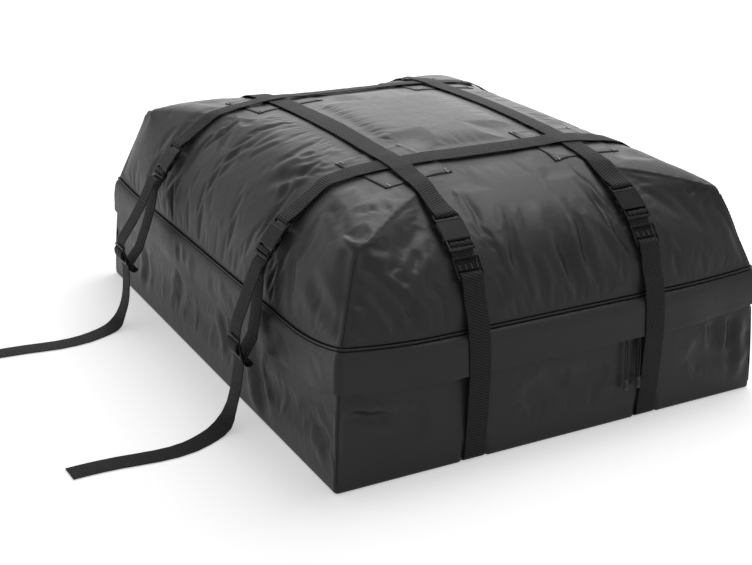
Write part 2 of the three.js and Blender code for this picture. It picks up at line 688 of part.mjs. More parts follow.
// Buckles and slides, drawn with X across the webbing, Y along it and Z off the fabric

// A plate with eased edges
function easedPlate(outline, z0, z1, ease) {
  const shape = new THREE.Shape(outline.map(([x, y]) => new THREE.Vector2(x, y)));
  return new THREE.ExtrudeGeometry(shape, {
    depth: z1 - z0 - 2 * ease, bevelThickness: ease, bevelSize: ease, bevelOffset: -ease, bevelSegments: 1,
  }).translate(0, 0, z0 + ease);
}

const mirrored = (outline) => outline.map(([x, y]) => [-x, y]).reverse();

// A rectangle with cut corners
function cutCornered(x0, x1, y0, y1, c) {
  return [
    [x0 + c, y0], [x1 - c, y0], [x1, y0 + c], [x1, y1 - c], [x1 - c, y1], [x0 + c, y1], [x0, y1 - c], [x0, y0 + c],
  ];
}

const HALF = BUCKLE_WIDTH / 2;
const SLOT_HALF = HALF - RAIL_WIDTH;

function plugGeometry() {
  const [shoulder, shoulderEnd] = PLUG_SHOULDER;
  const low = CAVITY.bottom + GAP;
  const high = CAVITY.top - GAP;
  const armOuter = CAVITY.half - GAP;
  const armInner = armOuter - PRONG_WIDTH;
  const [windowStart, windowEnd] = WINDOW;
  const arm = [
    [armInner, shoulderEnd - 1], [armOuter, shoulderEnd - 1], [armOuter, windowStart + 0.6],
    [HALF - 0.8, windowStart + 1], [HALF - 0.4, windowStart + 4], [armOuter, windowEnd - 1.5],
    [armInner + 1, windowEnd + 1], [armInner - 0.8, windowEnd - 3],
  ];
  const bar = block(-HALF + 0.5, HALF - 0.5, -BAR_HALF, BAR_HALF, BAR_MIDDLE - BAR_HALF, BAR_MIDDLE + BAR_HALF);
  const rail = (x0) =>
    block(x0, x0 + RAIL_WIDTH, -BAR_HALF, shoulder + 1, BAR_MIDDLE - BAR_HALF - 0.6, BAR_MIDDLE + BAR_HALF + 0.6);
  return join(
    plate(cutCornered(-HALF, HALF, shoulder, shoulderEnd, 1), SOCKET_BOTTOM + 0.8, SOCKET_TOP - 0.5),
    bar, rail(-HALF), rail(HALF - RAIL_WIDTH), plate(arm, low, high), plate(mirrored(arm), low, high),
    plate([[-BLADE_HALF, shoulderEnd - 1], [BLADE_HALF, shoulderEnd - 1], [BLADE_HALF, 37], [0, 41],
      [-BLADE_HALF, 37]], low, high),
  ).translate(0, -BUCKLE_MIDDLE, 0);
}

function socketGeometry() {
  const bodyOutline = cutCornered(-HALF, HALF, SOCKET_START, SOCKET_BODY_END, 1.6);
  const [windowStart, windowEnd] = WINDOW;
  const { bottom, top, half, end } = CAVITY;
  const shell = cut(
    easedPlate(bodyOutline, SOCKET_BOTTOM, SOCKET_TOP, 1.2),
    block(-half, half, SOCKET_START - 1, end, bottom, top),
    block(half - 1, HALF + 1, windowStart, windowEnd, bottom, top),
    block(-HALF - 1, 1 - half, windowStart, windowEnd, bottom, top),
  );
  const railTop = END_BAR_TOP - 0.5;
  const rail = (x0) => block(x0, x0 + RAIL_WIDTH, SOCKET_BODY_END - 2, END_BAR[1] - 2, END_BAR_BOTTOM, railTop);
  return join(
    shell, rail(-HALF + 0.4), rail(HALF - RAIL_WIDTH - 0.4),
    block(-SLOT_HALF - 1, SLOT_HALF + 1, LADDER_BAR - BAR_HALF, LADDER_BAR + BAR_HALF,
      BAR_MIDDLE - BAR_HALF + 0.1, BAR_MIDDLE + BAR_HALF + 0.1),
    easedPlate(cutCornered(-HALF + 0.2, HALF - 0.2, END_BAR[0], END_BAR[1], 1.4), END_BAR_BOTTOM, END_BAR_TOP, 0.9),
  ).translate(0, -BUCKLE_MIDDLE, 0);
}

// A slide's plate has two slots with the ribbed bar between them; its middle lies at height 0
function slideGeometry() {
  const slot = (y0, y1) => block(-SLOT_HALF, SLOT_HALF, y0, y1, -SLIDE_THICK, SLIDE_THICK);
  const frame = cut(
    easedPlate(cutCornered(-HALF, HALF, -SLIDE_HALF, SLIDE_HALF, 2.4), -SLIDE_THICK / 2, SLIDE_THICK / 2, 0.6),
    slot(SLIDE_BAR - SLIDE_HALF, -SLIDE_CENTRE_HALF), slot(SLIDE_CENTRE_HALF, SLIDE_HALF - SLIDE_BAR),
  );
  const ribs = [];
  for (let i = 0; i < SLIDE_RIBS; i++) {
    const x = (2 * SLOT_HALF * (i + 0.5)) / SLIDE_RIBS - SLOT_HALF;
    ribs.push(block(x - RIB.width / 2, x + RIB.width / 2, 0.5 - SLIDE_CENTRE_HALF, SLIDE_CENTRE_HALF - 0.5,
      0, SLIDE_THICK / 2 + RIB.height));
  }
  return join(frame, ...ribs);
}

const PLUG = plugGeometry();
const SOCKET = socketGeometry();
const SLIDE = slideGeometry();
const placed = (geometry, frame) => geometry.clone().applyMatrix4(frameMatrix(frame));

// A slide held flat on the strap under a buckle
const SLIDE_LIFT = FRONT_LAYER + WEB_THICK / 2 + GAP + SLIDE_THICK / 2;
const raised = (frame, lift) => ({ ...frame, origin: inFrame(frame, 0, lift) });

// The long straps: over the lid, down both ends, and right round under the base

const STRAP_OFF_FLAP = FLAP_STANDOFF + FLAP_THICK + GAP + WEB_THICK / 2;
const STRAP_BASE = WEB_THICK / 2;
const BASE_TURN = BASE_EDGE + GAP;

// From the slide down over the seam and the flap to the bottom edge: [distance from the middle, height]
function endDrop(seam) {
  const halfAt = (z) => BAG_LENGTH / 2 - wallLean(z / seam);
  const flapFoot = seam - FLAP_DEPTH;
  const turn = (degrees) => [
    BAG_LENGTH / 2 - BASE_EDGE + BASE_TURN * Math.cos(degToRad(degrees)),
    STRAP_BASE + BASE_TURN - BASE_TURN * Math.sin(degToRad(degrees)),
  ];
  return {
    fall: [
      [halfAt(seam) + 8.5, seam + 16], [halfAt(seam) + STRAP_OFF_FLAP - 1.4, seam - 4],
      [halfAt(seam - 20) + STRAP_OFF_FLAP + 0.4, seam - 20], [halfAt(flapFoot) + STRAP_OFF_FLAP + 0.4, flapFoot],
      [BAG_LENGTH / 2 + 3.8, flapFoot / 2], ...[8, 30, 60].map(turn),
    ],
    under: [BAG_LENGTH / 2 - BASE_EDGE - 6, STRAP_BASE],
  };
}

// The lower webbing at one end of a long strap, from its sewn tip behind the slide to the bottom edge
function longEndSteps(x, path, end) {
  const buckle = endFrame(path, LONG_BUCKLE_AT, end);
  const slide = endFrame(path, LONG_SLIDE_AT, end);
  const sign = end === 0 ? -1 : 1;
  const seam = end === 0 ? SEAM_SIDE.front : SEAM_SIDE.back;
  const { fall, under } = endDrop(seam);
  const drop = (pairs) => pairs.map(([far, z]) => ({ p: V(x, sign * far, z), across: V(-sign, 0, 0) }));
  const overSlide = [
    [-SLIDE_HALF - 3, FRONT_LAYER], [SLIDE_CENTRE_HALF, FRONT_LAYER], [7.6, FRONT_LAYER + 1.6],
    [9.4, SLIDE_LIFT], [11.6, SLIDE_LIFT + 2.6], [SLIDE_HALF - 2, SLIDE_LIFT + 3], [SLIDE_HALF + 1.5, SLIDE_LIFT + 2],
    [SLIDE_HALF + 7, SLIDE_LIFT - 1], [SLIDE_HALF + 14, FRONT_LAYER + 0.8],
  ];
  const lidRun = [46, 32].map((at) => {
    const frame = endFrame(path, at, end);
    return { p: inFrame(frame, 0, at === 46 ? 2.6 : 3.6), across: frame.across };
  });
  return [
    ...stepsIn(slide, [[SLIDE_HALF + 2, BACK_LAYER], [-SLIDE_HALF - 3, BACK_LAYER]]),
    ...stepsBack(stepsIn(buckle, LADDER_FRONT)),
    ...stepsIn(slide, overSlide), ...lidRun, ...drop(fall), ...drop([under]),
  ];
}

// The tub's channels for the long straps
function strapChannel(x) {
  const { fall, under } = endDrop(SEAM_SIDE.back);
  const half = [...fall.slice(-4), under];
  const step = (sign) => ([far, z]) => ({ p: V(x, sign * far, z), across: V(1, 0, 0) });
  const steps = [...half.map(step(-1)), ...stepsBack(half.map(step(1)))];
  return sweep(steps, webSection(WEB_WIDTH + 2 * GAP, WEB_THICK + 2 * GAP));
}

// The hanging loops at the ends of the cross straps

// The frame of a hanging slide: its plate's middle, with along pointing down and out away from the bag
function hangingFrame(loop, y, side) {
  const along = V(-side * Math.sin(loop.lean), 0, -Math.cos(loop.lean));
  const out = V(side * Math.cos(loop.lean), 0, -Math.sin(loop.lean));
  const [far, height] = loop.slide;
  return { origin: V(side * (BAG_WIDTH / 2 + far), y, height), along, out, across: along.clone().cross(out) };
}

const STRAND_PAST = 5; // the strand through a hanging slide ends this far past it
const SLIDE_FACE = SLIDE_THICK / 2 + GAP + WEB_THICK / 2;
const SLIDE_OVER = SLIDE_FACE + WEB_THICK + GAP + RIB.height;

function sideLoopSteps(loop, buckle, y, side) {
  const slide = hangingFrame(loop, y, side);
  const hang = (pairs) =>
    pairs.map(([far, z]) => ({ p: V(side * (BAG_WIDTH / 2 + far), y, z), across: slide.across }));
  const [uFar, uHeight] = loop.uTurn;
  const turn = [180, 216, 252, 288, 324].map((degrees) => [
    uFar - U_RADIUS * Math.cos(degToRad(degrees)), uHeight + U_RADIUS * Math.sin(degToRad(degrees)),
  ]);
  const centre = SLIDE_CENTRE_HALF;
  const sewnEnd = [
    [centre - 1, SLIDE_FACE + RIB.height], [-centre - 0.2, SLIDE_FACE + RIB.height],
    [-centre - 1.9, 1.6], [-centre - 1.9, -1.2], [-centre - 0.2, -SLIDE_FACE],
    [centre - 1, -SLIDE_FACE - 0.15], [centre + 2, -SLIDE_FACE - 1.3], [centre + 5, -SLIDE_FACE - 2.5],
    [SLIDE_HALF, -SLIDE_FACE - 2.9],
  ];
  const throughSlide = [
    [-SLIDE_HALF - 4, -SLIDE_FACE - 0.4], [-centre - 8.4, -SLIDE_FACE - 0.3], [-centre - 6.2, -2.3],
    [-centre - 5, -0.2], [-centre - 4.6, 3], [-centre - 2.2, SLIDE_OVER - 0.2], [-centre + 0.5, SLIDE_OVER],
    [centre - 0.5, SLIDE_OVER], [centre + 2.6, 3], [centre + 4, 0.6], [centre + 5.6, -1.7],
    [SLIDE_HALF - SLIDE_BAR + 0.1, -SLIDE_FACE], [SLIDE_HALF + STRAND_PAST, -SLIDE_FACE],
  ];
  return [
    ...stepsIn(slide, sewnEnd), ...stepsBack(hang(turn)), ...stepsBack(hang(loop.inner)),
    ...stepsBack(stepsIn(buckle, LADDER_FRONT)), ...hang(loop.outer), ...stepsIn(slide, throughSlide),
  ];
}

// Assembly

const channels = LONG_STRAP_X.map(strapChannel);
addMesh("tub", tubGeometry(channels), FABRIC);
const lid = addMesh("lid", lidGeometry(), FABRIC);

const welt = [];
for (let i = 0; i < 6; i++) {
  const angle = (i * Math.PI) / 3;
  welt.push([GAP + WELT_RADIUS * (1 + Math.cos(angle)), WELT_RADIUS * Math.sin(angle)]);
}
addMesh("seam_welt", wallBand(welt), TRIM);

const flapOut = FLAP_STANDOFF + FLAP_THICK;
const flapTop = WELT_RADIUS + GAP;
addMesh("rain_flap", wallBand([
  [2.2, flapTop], [flapOut - 3, flapTop + 5], [flapOut, flapTop + 17], [flapOut, FLAP_DEPTH],
  [FLAP_STANDOFF, FLAP_DEPTH], [FLAP_STANDOFF, flapTop + 18], [FLAP_STANDOFF - 2.8, flapTop + 7],
  [GAP, flapTop + 1.8],
]), FABRIC);

// One half of the zip: its tape is sewn to the bag at one edge and carries the coil at the other
function zipHalf(side) {
  const drop = (down) => ZIP_DROP + side * down;
  const inner = COIL_SLIT / 2;
  return wallBand([
    [GAP, drop(TAPE_WIDTH)], [GAP + TAPE_THICK, drop(TAPE_WIDTH)],
    [COIL_STANDOFF + COIL_THICK, drop(inner + COIL_WIDTH)], [COIL_STANDOFF + COIL_THICK, drop(inner)],
    [COIL_STANDOFF, drop(inner)], [COIL_STANDOFF, drop(TAPE_WIDTH / 2)],
  ]);
}
addMesh("zip_upper_half", zipHalf(-1), ZIP);
addMesh("zip_lower_half", zipHalf(1), ZIP);

// The sliders and their pulls, drawn with X along the zip, Y up and Z out, on the front wall's slant
const zipShare = (SEAM_SIDE.front - ZIP_DROP) / SEAM_SIDE.front;
const zipSlant = Math.atan((1.5 * WALL_LEAN * Math.sqrt(zipShare)) / SEAM_SIDE.front);
const zipWallY = wallLean(zipShare) - BAG_LENGTH / 2;
const zipHeight = SEAM_SIDE.front - ZIP_DROP;
const sliderFace = COIL_STANDOFF + COIL_THICK + GAP;
const sliderTop = sliderFace + SLIDER_FRONT;
const sliderHalf = SLIDER_LENGTH / 2;
const sliderTall = SLIDER_HEIGHT / 2;
const onFront = (geometry, x) =>
  geometry.rotateX(Math.PI / 2 - zipSlant).translate(x, zipWallY, zipHeight);

function sliderGeometry() {
  const bail = cut(
    block(-5, 5, -1, 1, sliderTop - 0.2, sliderTop + BAIL_HEIGHT),
    block(-3.3, 3.3, -2, 2, sliderTop, sliderTop + PULL_NECK_THICK + 2 * 0.28),
  );
  const nose = [
    [-sliderHalf, -4], [3 - sliderHalf, -sliderTall], [sliderHalf - 2, -sliderTall], [sliderHalf, -3],
    [sliderHalf, 3], [sliderHalf - 2, sliderTall], [3 - sliderHalf, sliderTall], [-sliderHalf, 4],
  ];
  const post = COIL_SLIT / 2 - 2 * GAP;
  return join(
    easedPlate(nose, sliderFace, sliderTop, 0.6), plate(nose, GAP, GAP + SLIDER_PLATE - 0.1),
    block(-3, 3, -post, post, GAP + 0.4, sliderFace + 0.5), bail,
  );
}

function pullGeometry() {
  const bottom = PULL_BOTTOM - zipHeight;
  const gripTop = PULL_GRIP_TOP - zipHeight;
  const neckBack = sliderTop + 0.28;
  const middle = neckBack + PULL_NECK_THICK / 2;
  const half = PULL_WIDTH / 2;
  const grip = [
    [-half + 1.5, bottom], [half - 1.5, bottom], [half, bottom + 3], [half, gripTop - 5],
    [PULL_NECK_WIDTH / 2, gripTop], [-PULL_NECK_WIDTH / 2, gripTop], [-half, gripTop - 5], [-half, bottom + 3],
  ];
  return join(
    block(-PULL_NECK_WIDTH / 2, PULL_NECK_WIDTH / 2, gripTop - 3, 4.5, neckBack, neckBack + PULL_NECK_THICK),
    easedPlate(grip, middle - PULL_THICK / 2, middle + PULL_THICK / 2, 0.5),
  );
}

["left", "right"].forEach((name, i) => {
  addMesh("zip_slider_" + name, onFront(sliderGeometry(), SLIDER_X[i]), PLASTIC);
  addMesh("zip_pull_" + name, onFront(pullGeometry(), SLIDER_X[i]), WEBBING);
});

// A patch is a square of the lid's own surface, lifted off it under a crossing
function patchGeometry(x, y, turn) {
  const lifted = (rise) => toSolid(lidGeometry().translate(0, 0, rise));
  const column = block(
    -PATCH_WIDTH / 2, PATCH_WIDTH / 2, -PATCH_LENGTH / 2, PATCH_LENGTH / 2,
    SEAM_SIDE.front + LID_PEAK_RISE / 2, CROWN_HEIGHT + GAP + 2 * PATCH_THICK,
  );
  const upright = toSolid(column.rotateZ(turn).translate(x, y, 0));
  return toGeometry(lifted(GAP + PATCH_THICK).subtract(lifted(GAP)).intersect(upright));
}

CROSS_STRAP_Y.forEach((y, i) => {
  LONG_STRAP_X.forEach((x, j) => {
    addMesh(`patch_${["front", "back"][i]}_${["left", "right"][j]}`, patchGeometry(x, y, PATCH_TURN[i][j]), PATCH);
  });
});

// A buckle in its frame
function addBuckle(name, frame) {
  addMesh("buckle_plug_" + name, placed(PLUG, frame), PLASTIC);
  addMesh("buckle_socket_" + name, placed(SOCKET, frame), PLASTIC);
}

LONG_STRAP_X.forEach((x, i) => {
  const name = ["left", "right"][i];
  const path = surfacePath(lid, true, x);
  const frames = [0, 1].map((end) => endFrame(path, LONG_BUCKLE_AT, end));
  const goesOver = (crossing) => (crossing + i) % 2 === 0;
  const lift = (p) => strapLift(p.y, CROSS_STRAP_Y, PATCH_LENGTH / 2, goesOver);
  addMesh("long_strap_top_" + name, sweep(topStrapSteps(path, frames, LONG_BUCKLE_AT, lift), WEB), WEBBING);
  const under = [...longEndSteps(x, path, 0), ...stepsBack(longEndSteps(x, path, 1))];
  addMesh("long_strap_under_" + name, sweep(under, WEB), WEBBING);
  ["front", "back"].forEach((endName, end) => {
    addBuckle(`${endName}_${name}`, frames[end]);
    const slide = raised(endFrame(path, LONG_SLIDE_AT, end), SLIDE_LIFT);
    addMesh(`slide_${endName}_${name}`, placed(SLIDE, slide), PLASTIC);
  });
});

const TAILS = { front: FRONT_TAIL, back: BACK_TAIL };
CROSS_STRAP_Y.forEach((y, i) => {
  const loop = SIDE_LOOPS[i];
  const path = surfacePath(lid, false, y);
  const frames = [0, 1].map((end) =>
    kicked(endFrame(path, CROSS_BUCKLE_AT, end), CROSS_BUCKLE_KICK, -BUCKLE_MIDDLE));
  const goesOver = (crossing) => (crossing + i) % 2 === 1;
  const lift = (p) => strapLift(p.x, LONG_STRAP_X, PATCH_WIDTH / 2, goesOver);
  addMesh("cross_strap_top_" + loop.name, sweep(topStrapSteps(path, frames, CROSS_BUCKLE_AT, lift), WEB), WEBBING);
  ["left", "right"].forEach((sideName, end) => {
    const side = end === 0 ? -1 : 1;
    const name = `${sideName}_${loop.name}`;
    addBuckle(name, frames[end]);
    addMesh("slide_" + name, placed(SLIDE, hangingFrame(loop, y, side)), PLASTIC);
    addMesh("side_loop_" + name, sweep(sideLoopSteps(loop, frames[end], y, side), WEB), WEBBING);
  });
  const strandEnd = inFrame(hangingFrame(loop, y, -1), SLIDE_HALF + STRAND_PAST + GAP, -SLIDE_FACE);
  addMesh("tail_left_" + loop.name, tailGeometry(strandEnd, TAILS[loop.name], y), WEBBING);
});

export default part;
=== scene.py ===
# %% [markdown]
# # A soft roof cargo bag
#
# A roof cargo bag is a large soft box for a car's roof. It is sewn from coated fabric, closed by a
# zip under a rain flap, and held shut by crossed webbing straps with buckles. This lesson dresses a
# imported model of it. Every solid of that model fixes the place and size of one real piece, and the
# cells below give each piece the shape of its cloth and the finish of its material.

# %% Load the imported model
import math
from contextlib import contextmanager

import bmesh
import bpy
import numpy as np
from mathutils import Matrix, Vector
from mathutils.bvhtree import BVHTree


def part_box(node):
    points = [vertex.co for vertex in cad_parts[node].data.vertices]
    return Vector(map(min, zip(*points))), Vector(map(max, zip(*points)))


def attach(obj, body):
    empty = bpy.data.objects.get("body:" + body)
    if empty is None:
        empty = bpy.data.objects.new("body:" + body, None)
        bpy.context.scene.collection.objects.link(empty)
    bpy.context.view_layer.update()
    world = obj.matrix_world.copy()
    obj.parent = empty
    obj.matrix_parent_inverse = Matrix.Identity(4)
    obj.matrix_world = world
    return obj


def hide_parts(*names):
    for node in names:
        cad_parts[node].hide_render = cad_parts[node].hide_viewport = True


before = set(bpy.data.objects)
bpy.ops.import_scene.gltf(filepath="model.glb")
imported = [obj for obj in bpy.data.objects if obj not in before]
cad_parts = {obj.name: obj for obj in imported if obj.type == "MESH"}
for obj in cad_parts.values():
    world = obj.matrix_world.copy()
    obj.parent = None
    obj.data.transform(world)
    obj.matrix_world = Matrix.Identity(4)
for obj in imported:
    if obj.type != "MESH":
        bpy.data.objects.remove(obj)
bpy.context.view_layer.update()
BAG = "bag"
MM = 0.001


def in_scene(name, data):
    """A new object with the data given, in the scene."""
    thing = bpy.data.objects.new(name, data)
    bpy.context.scene.collection.objects.link(thing)
    return thing


# %% [markdown]
# ## The camera
#
# The picture was taken from above the left front corner with a fairly long lens. The place of the
# camera was worked out from straight edges of the bag: its seam, its base and its straps. The three
# angles say how far the view turns to the right, looks down, and tilts.

# %% Camera at the photograph's viewing angle
CAMERA_AT = Vector((-1.1833, -2.0300, 1.0236))
CAMERA_YAW = 0.5046
CAMERA_PITCH = 0.3802
CAMERA_ROLL = 0.0171
CAMERA_LENS = 64.70
SENSOR_WIDTH = 36

forward = Vector((
    math.sin(CAMERA_YAW) * math.cos(CAMERA_PITCH),
    math.cos(CAMERA_YAW) * math.cos(CAMERA_PITCH),
    -math.sin(CAMERA_PITCH),
))
level_right = forward.cross(Vector((0, 0, 1))).normalized()
level_up = level_right.cross(forward)
right = math.cos(CAMERA_ROLL) * level_right + math.sin(CAMERA_ROLL) * level_up
up = math.cos(CAMERA_ROLL) * level_up - math.sin(CAMERA_ROLL) * level_right

camera_data = bpy.data.cameras.new("camera")
camera_data.lens = CAMERA_LENS
camera_data.sensor_width = SENSOR_WIDTH
camera = in_scene("camera", camera_data)
facing = Matrix((right, up, -forward)).transposed().to_4x4()
camera.matrix_world = Matrix.Translation(CAMERA_AT) @ facing
bpy.context.scene.camera = camera
print("camera lens", CAMERA_LENS, "mm")

# %% [markdown]
# ## Small helpers for meshes
#
# Most pieces here start as rows of points. These helpers turn rows into a mesh object, give it a
# UV map where its cloth has a direction, turn its faces outwards, and put it in the scene with its
# finish. Shapes are worked out in millimetres, and MM turns them into the metres of a mesh.


# %% Mesh helpers
def show(mesh, name, material, smooth=True):
    """Puts a mesh in the scene under a name, with one material."""
    piece = in_scene(name, mesh)
    mesh.materials.clear()
    mesh.materials.append(material)
    mesh.polygons.foreach_set("use_smooth", [smooth] * len(mesh.polygons))
    return piece


def mesh_of(name, points, faces, uvs=None):
    """A mesh from points in metres; uvs holds one pair for each point."""
    mesh = bpy.data.meshes.new(name)
    mesh.from_pydata([tuple(p) for p in points], [], faces)
    if uvs is not None:
        layer = mesh.uv_layers.new(name="cloth")
        corner_points = np.empty(len(mesh.loops), dtype=int)
        mesh.loops.foreach_get("vertex_index", corner_points)
        layer.data.foreach_set("uv", np.asarray(uvs, dtype=float)[corner_points].ravel())
    mesh.update()
    return mesh


def frame_object(node):
    return bpy.data.objects[node]


@contextmanager
def reworked(mesh):
    """Opens a mesh for work on its points and faces, and writes the work back."""
    bm = bmesh.new()
    bm.from_mesh(mesh)
    yield bm
    bm.to_mesh(mesh)
    bm.free()


def face_outwards(mesh):
    with reworked(mesh) as bm:
        if bm.calc_volume(signed=True) < 0:
            bmesh.ops.reverse_faces(bm, faces=bm.faces)


def ride_on(piece, body, slot, *nodes):
    """Makes a piece ride on a body and stand for the nodes, which are hidden; slot is not used."""
    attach(piece, body)
    if nodes:
        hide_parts(*nodes)
    return piece


def closed_piece(name, points, faces, material, slot, node):
    """A closed mesh from points in millimetres, riding on the bag in the place of a solid."""
    mesh = mesh_of(name, points * MM, faces)
    face_outwards(mesh)
    print(name, len(faces), "faces")
    return ride_on(show(mesh, name, material), BAG, slot, node)


def smoothstep(x, low, high):
    """0 below low, 1 above high, and a soft rise between them."""
    t = np.clip((np.asarray(x, dtype=float) - low) / (high - low), 0, 1)
    return t * t * (3 - 2 * t)


def lerp(a, b, t):
    return a + (b - a) * t


def to_nearest(values, lines):
    """How far each value lies from the nearer of two lines."""
    return np.minimum(*[np.abs(values - line) for line in lines])


# %% [markdown]
# ## Finishes as arithmetic
#
# A material is a small calculation that runs for every point of a surface. The class below wraps a
# socket of the node tree, so that the calculation can be written as plain arithmetic: adding two
# wrapped sockets adds a Math node. Every other node comes from one method of the maker.


# %% Nodes of any tree
def plug(tree, item, socket):
    """Gives a socket its value, or a link from another socket."""
    item = getattr(item, "socket", item)
    if isinstance(item, bpy.types.NodeSocket):
        tree.links.new(item, socket)
    else:
        socket.default_value = item


def tree_node(tree, kind, settings=None, values=None):
    """A node of a kind; its settings come first, then the values or links of its sockets."""
    node = tree.nodes.new(kind)
    for key, value in (settings or {}).items():
        setattr(node, key, value)
    for key, value in (values or {}).items():
        plug(tree, value, node.inputs[key])
    return node


# %% Sockets that can be added and multiplied
def operator(operation, reflected=False):
    """An operator between an amount and a number or another amount."""
    def apply(self, other):
        return self.math(operation, *((other, self) if reflected else (self, other)))

    return apply


class Amount:
    """A number on its way through a material's nodes."""

    def __init__(self, maker, socket):
        self.maker = maker
        self.socket = socket

    def math(self, operation, *items):
        return self.maker.amount("ShaderNodeMath", {"operation": operation}, dict(enumerate(items)))

    __add__, __radd__ = operator("ADD"), operator("ADD", reflected=True)
    __sub__, __rsub__ = operator("SUBTRACT"), operator("SUBTRACT", reflected=True)
    __mul__, __rmul__ = operator("MULTIPLY"), operator("MULTIPLY", reflected=True)
    __truediv__, __pow__ = operator("DIVIDE"), operator("POWER")

    def sine(self):
        return self.math("SINE", self)

    def wave(self, pitch):
        """A sine wave with a crest at every pitch."""
        return (self * (2 * math.pi / pitch)).sine()

    def size(self):
        return self.math("ABSOLUTE", self)

    def clipped(self):
        return self.math("MINIMUM", self.math("MAXIMUM", self, 0.0), 1.0)

    def above(self, level, softness):
        """0 below level and 1 above it, over the given softness."""
        return ((self - level) / softness + 0.5).clipped()


class Finish:
    """A material under construction, with its shader and its output."""

    def __init__(self, name):
        self.material = bpy.data.materials.new(name)
        self.material.use_nodes = True
        self.tree = self.material.node_tree
        self.tree.nodes.clear()
        self.shader = self.node("ShaderNodeBsdfPrincipled")
        self.output = self.node(
            "ShaderNodeOutputMaterial", None, {"Surface": self.shader.outputs[0]})

    def node(self, kind, settings=None, values=None):
        return tree_node(self.tree, kind, settings, values)

    def amount(self, kind, settings=None, values=None, output=0):
        return Amount(self, self.node(kind, settings, values).outputs[output])

    def parts(self, spot):
        split = self.node("ShaderNodeSeparateXYZ", None, {0: spot}).outputs
        return [Amount(self, part) for part in split]

    def place(self):
        """The point's place on the piece, as three amounts in metres, and as a vector."""
        spot = self.node("ShaderNodeTexCoord").outputs["Object"]
        return self.parts(spot), spot

    def cloth_uv(self):
        """The piece's own UV map, in metres across and along its webbing."""
        spot = self.node("ShaderNodeUVMap", {"uv_map": "cloth"}).outputs[0]
        return self.parts(spot)[:2], spot

    def noise(self, spot, scale, detail=3.0, roughness=0.55):
        return self.amount(
            "ShaderNodeTexNoise", None,
            {"Vector": spot, "Scale": scale, "Detail": detail, "Roughness": roughness},
        )

    def mix(self, factor, first, second):
        """A colour between two colours."""
        node = self.node("ShaderNodeMix", {"data_type": "RGBA"}, {0: factor, 6: first, 7: second})
        return node.outputs[2]

    def bump(self, height, distance, strength=1.0, below=None):
        values = {"Height": height, "Distance": distance, "Strength": strength}
        if below is not None:
            values["Normal"] = below
        return self.node("ShaderNodeBump", None, values).outputs[0]

    def end(self, color=None, roughness=None, normal=None, **fixed):
        for name, item in (("Base Color", color), ("Roughness", roughness), ("Normal", normal)):
            if item is not None:
                plug(self.tree, item, self.shader.inputs[name])
        for name, value in fixed.items():
            self.shader.inputs[name.replace("_", " ")].default_value = value
        return self.material


def grey(level):
    return (level, level, level, 1.0)


# %% [markdown]
# ## The bag's finishes
#
# The coated fabric is a tight weave under a satin film: dark, with a broad soft sheen, faint
# mottling where the film is rubbed, and very small crinkles. The webbing is ribbed across its width,
# with tight edges, and is duller; its ribs carry painted highlight on their crests and painted shade
# in their troughs. The moulded buckles are black with a light orange-peel texture, and their outer
# edges carry a paler painted highlight.


# %% Coated fabric
THREAD_PITCH, WEAVE_DEPTH, PUCKER_DEPTH = 1.6 * MM, 0.12 * MM, 1.6 * MM
MOTTLE, PUCKERS, RUB, FINE = 9.0, 38.0, 55.0, 240.0  # how fine each noise is, per metre


def coated_fabric(name, level, crinkle=1.0):
    f = Finish(name)
    (x, y, z), spot = f.place()
    mottle = f.noise(spot, MOTTLE, 4.0, 0.6)
    rub = f.noise(spot, RUB, 3.0, 0.65)
    weave = x.wave(THREAD_PITCH) * y.wave(THREAD_PITCH) + z.wave(THREAD_PITCH) * 0.6
    fine = f.noise(spot, FINE, 2.0)
    worn = (mottle * 0.7 + rub * 0.3).above(0.5, 0.5)
    color = f.mix(worn, grey(level * 0.86), grey(level * 1.18))
    roughness = 0.27 + mottle * 0.16 + rub * 0.1
    cloth = f.bump(weave * 0.5 + fine, WEAVE_DEPTH, 0.35)
    puckers = f.noise(spot, PUCKERS, 3.0, 0.5)
    normal = f.bump(puckers, PUCKER_DEPTH * crinkle, 0.5, cloth)
    return f.end(color, roughness, normal, Specular_IOR_Level=0.22)


FABRIC = coated_fabric("coated_fabric", 0.018)
PATCH = coated_fabric("patch_fabric", 0.024, 0.4)
PIPING = coated_fabric("piping_fabric", 0.012, 0.3)

# %% Ribbed webbing
STRAP_WIDTH = 38 * MM
SELVEDGE = 0.44  # where the tight edge starts, in widths from the middle


def webbing(name, level, rib, slant):
    """Webbing with ribs across it; slant leans them, as in a twill."""
    f = Finish(name)
    (across, along), spot = f.cloth_uv()
    wander = across.wave(3 * rib) * 0.6
    ribs = ((along + across * slant) * (2 * math.pi / rib) + wander).sine()
    cords = across.wave(2.4 * MM)
    edge = (across / STRAP_WIDTH).size().above(SELVEDGE, 0.03)
    height = ribs * (1 - edge) * 0.8 + cords * 0.35 + edge * 0.3
    scatter = f.noise(spot, 900.0, 2.0)
    fade = f.noise(spot, 30.0, 3.0)
    # lit paints each rib lighter on its crest and darker in its trough, as painted highlight and
    # painted shade, with random tone from the two noises.
    lit = ((ribs * 0.5 + 0.5) * 0.62 + scatter * 0.22 + fade * 0.16).clipped()
    color = f.mix(lit, grey(level * 0.15), grey(level * 2.6))
    relief = f.bump(height, 0.6 * MM, 1.0)
    return f.end(color, 0.5 + scatter * 0.2, relief, Specular_IOR_Level=0.12)


WEBBING = webbing("ribbed_webbing", 0.013, 4.0 * MM, 0.0)
TWILL_WEBBING = webbing("twill_webbing", 0.012, 4.8 * MM, 0.5)

# %% Moulded buckle plastic, zip tape, pull cord, threads, and the near-black cord of painted seam shadow
# The grey of the painted highlight along the outer edges of moulded parts.
EDGE_HIGHLIGHT_GREY = 0.085


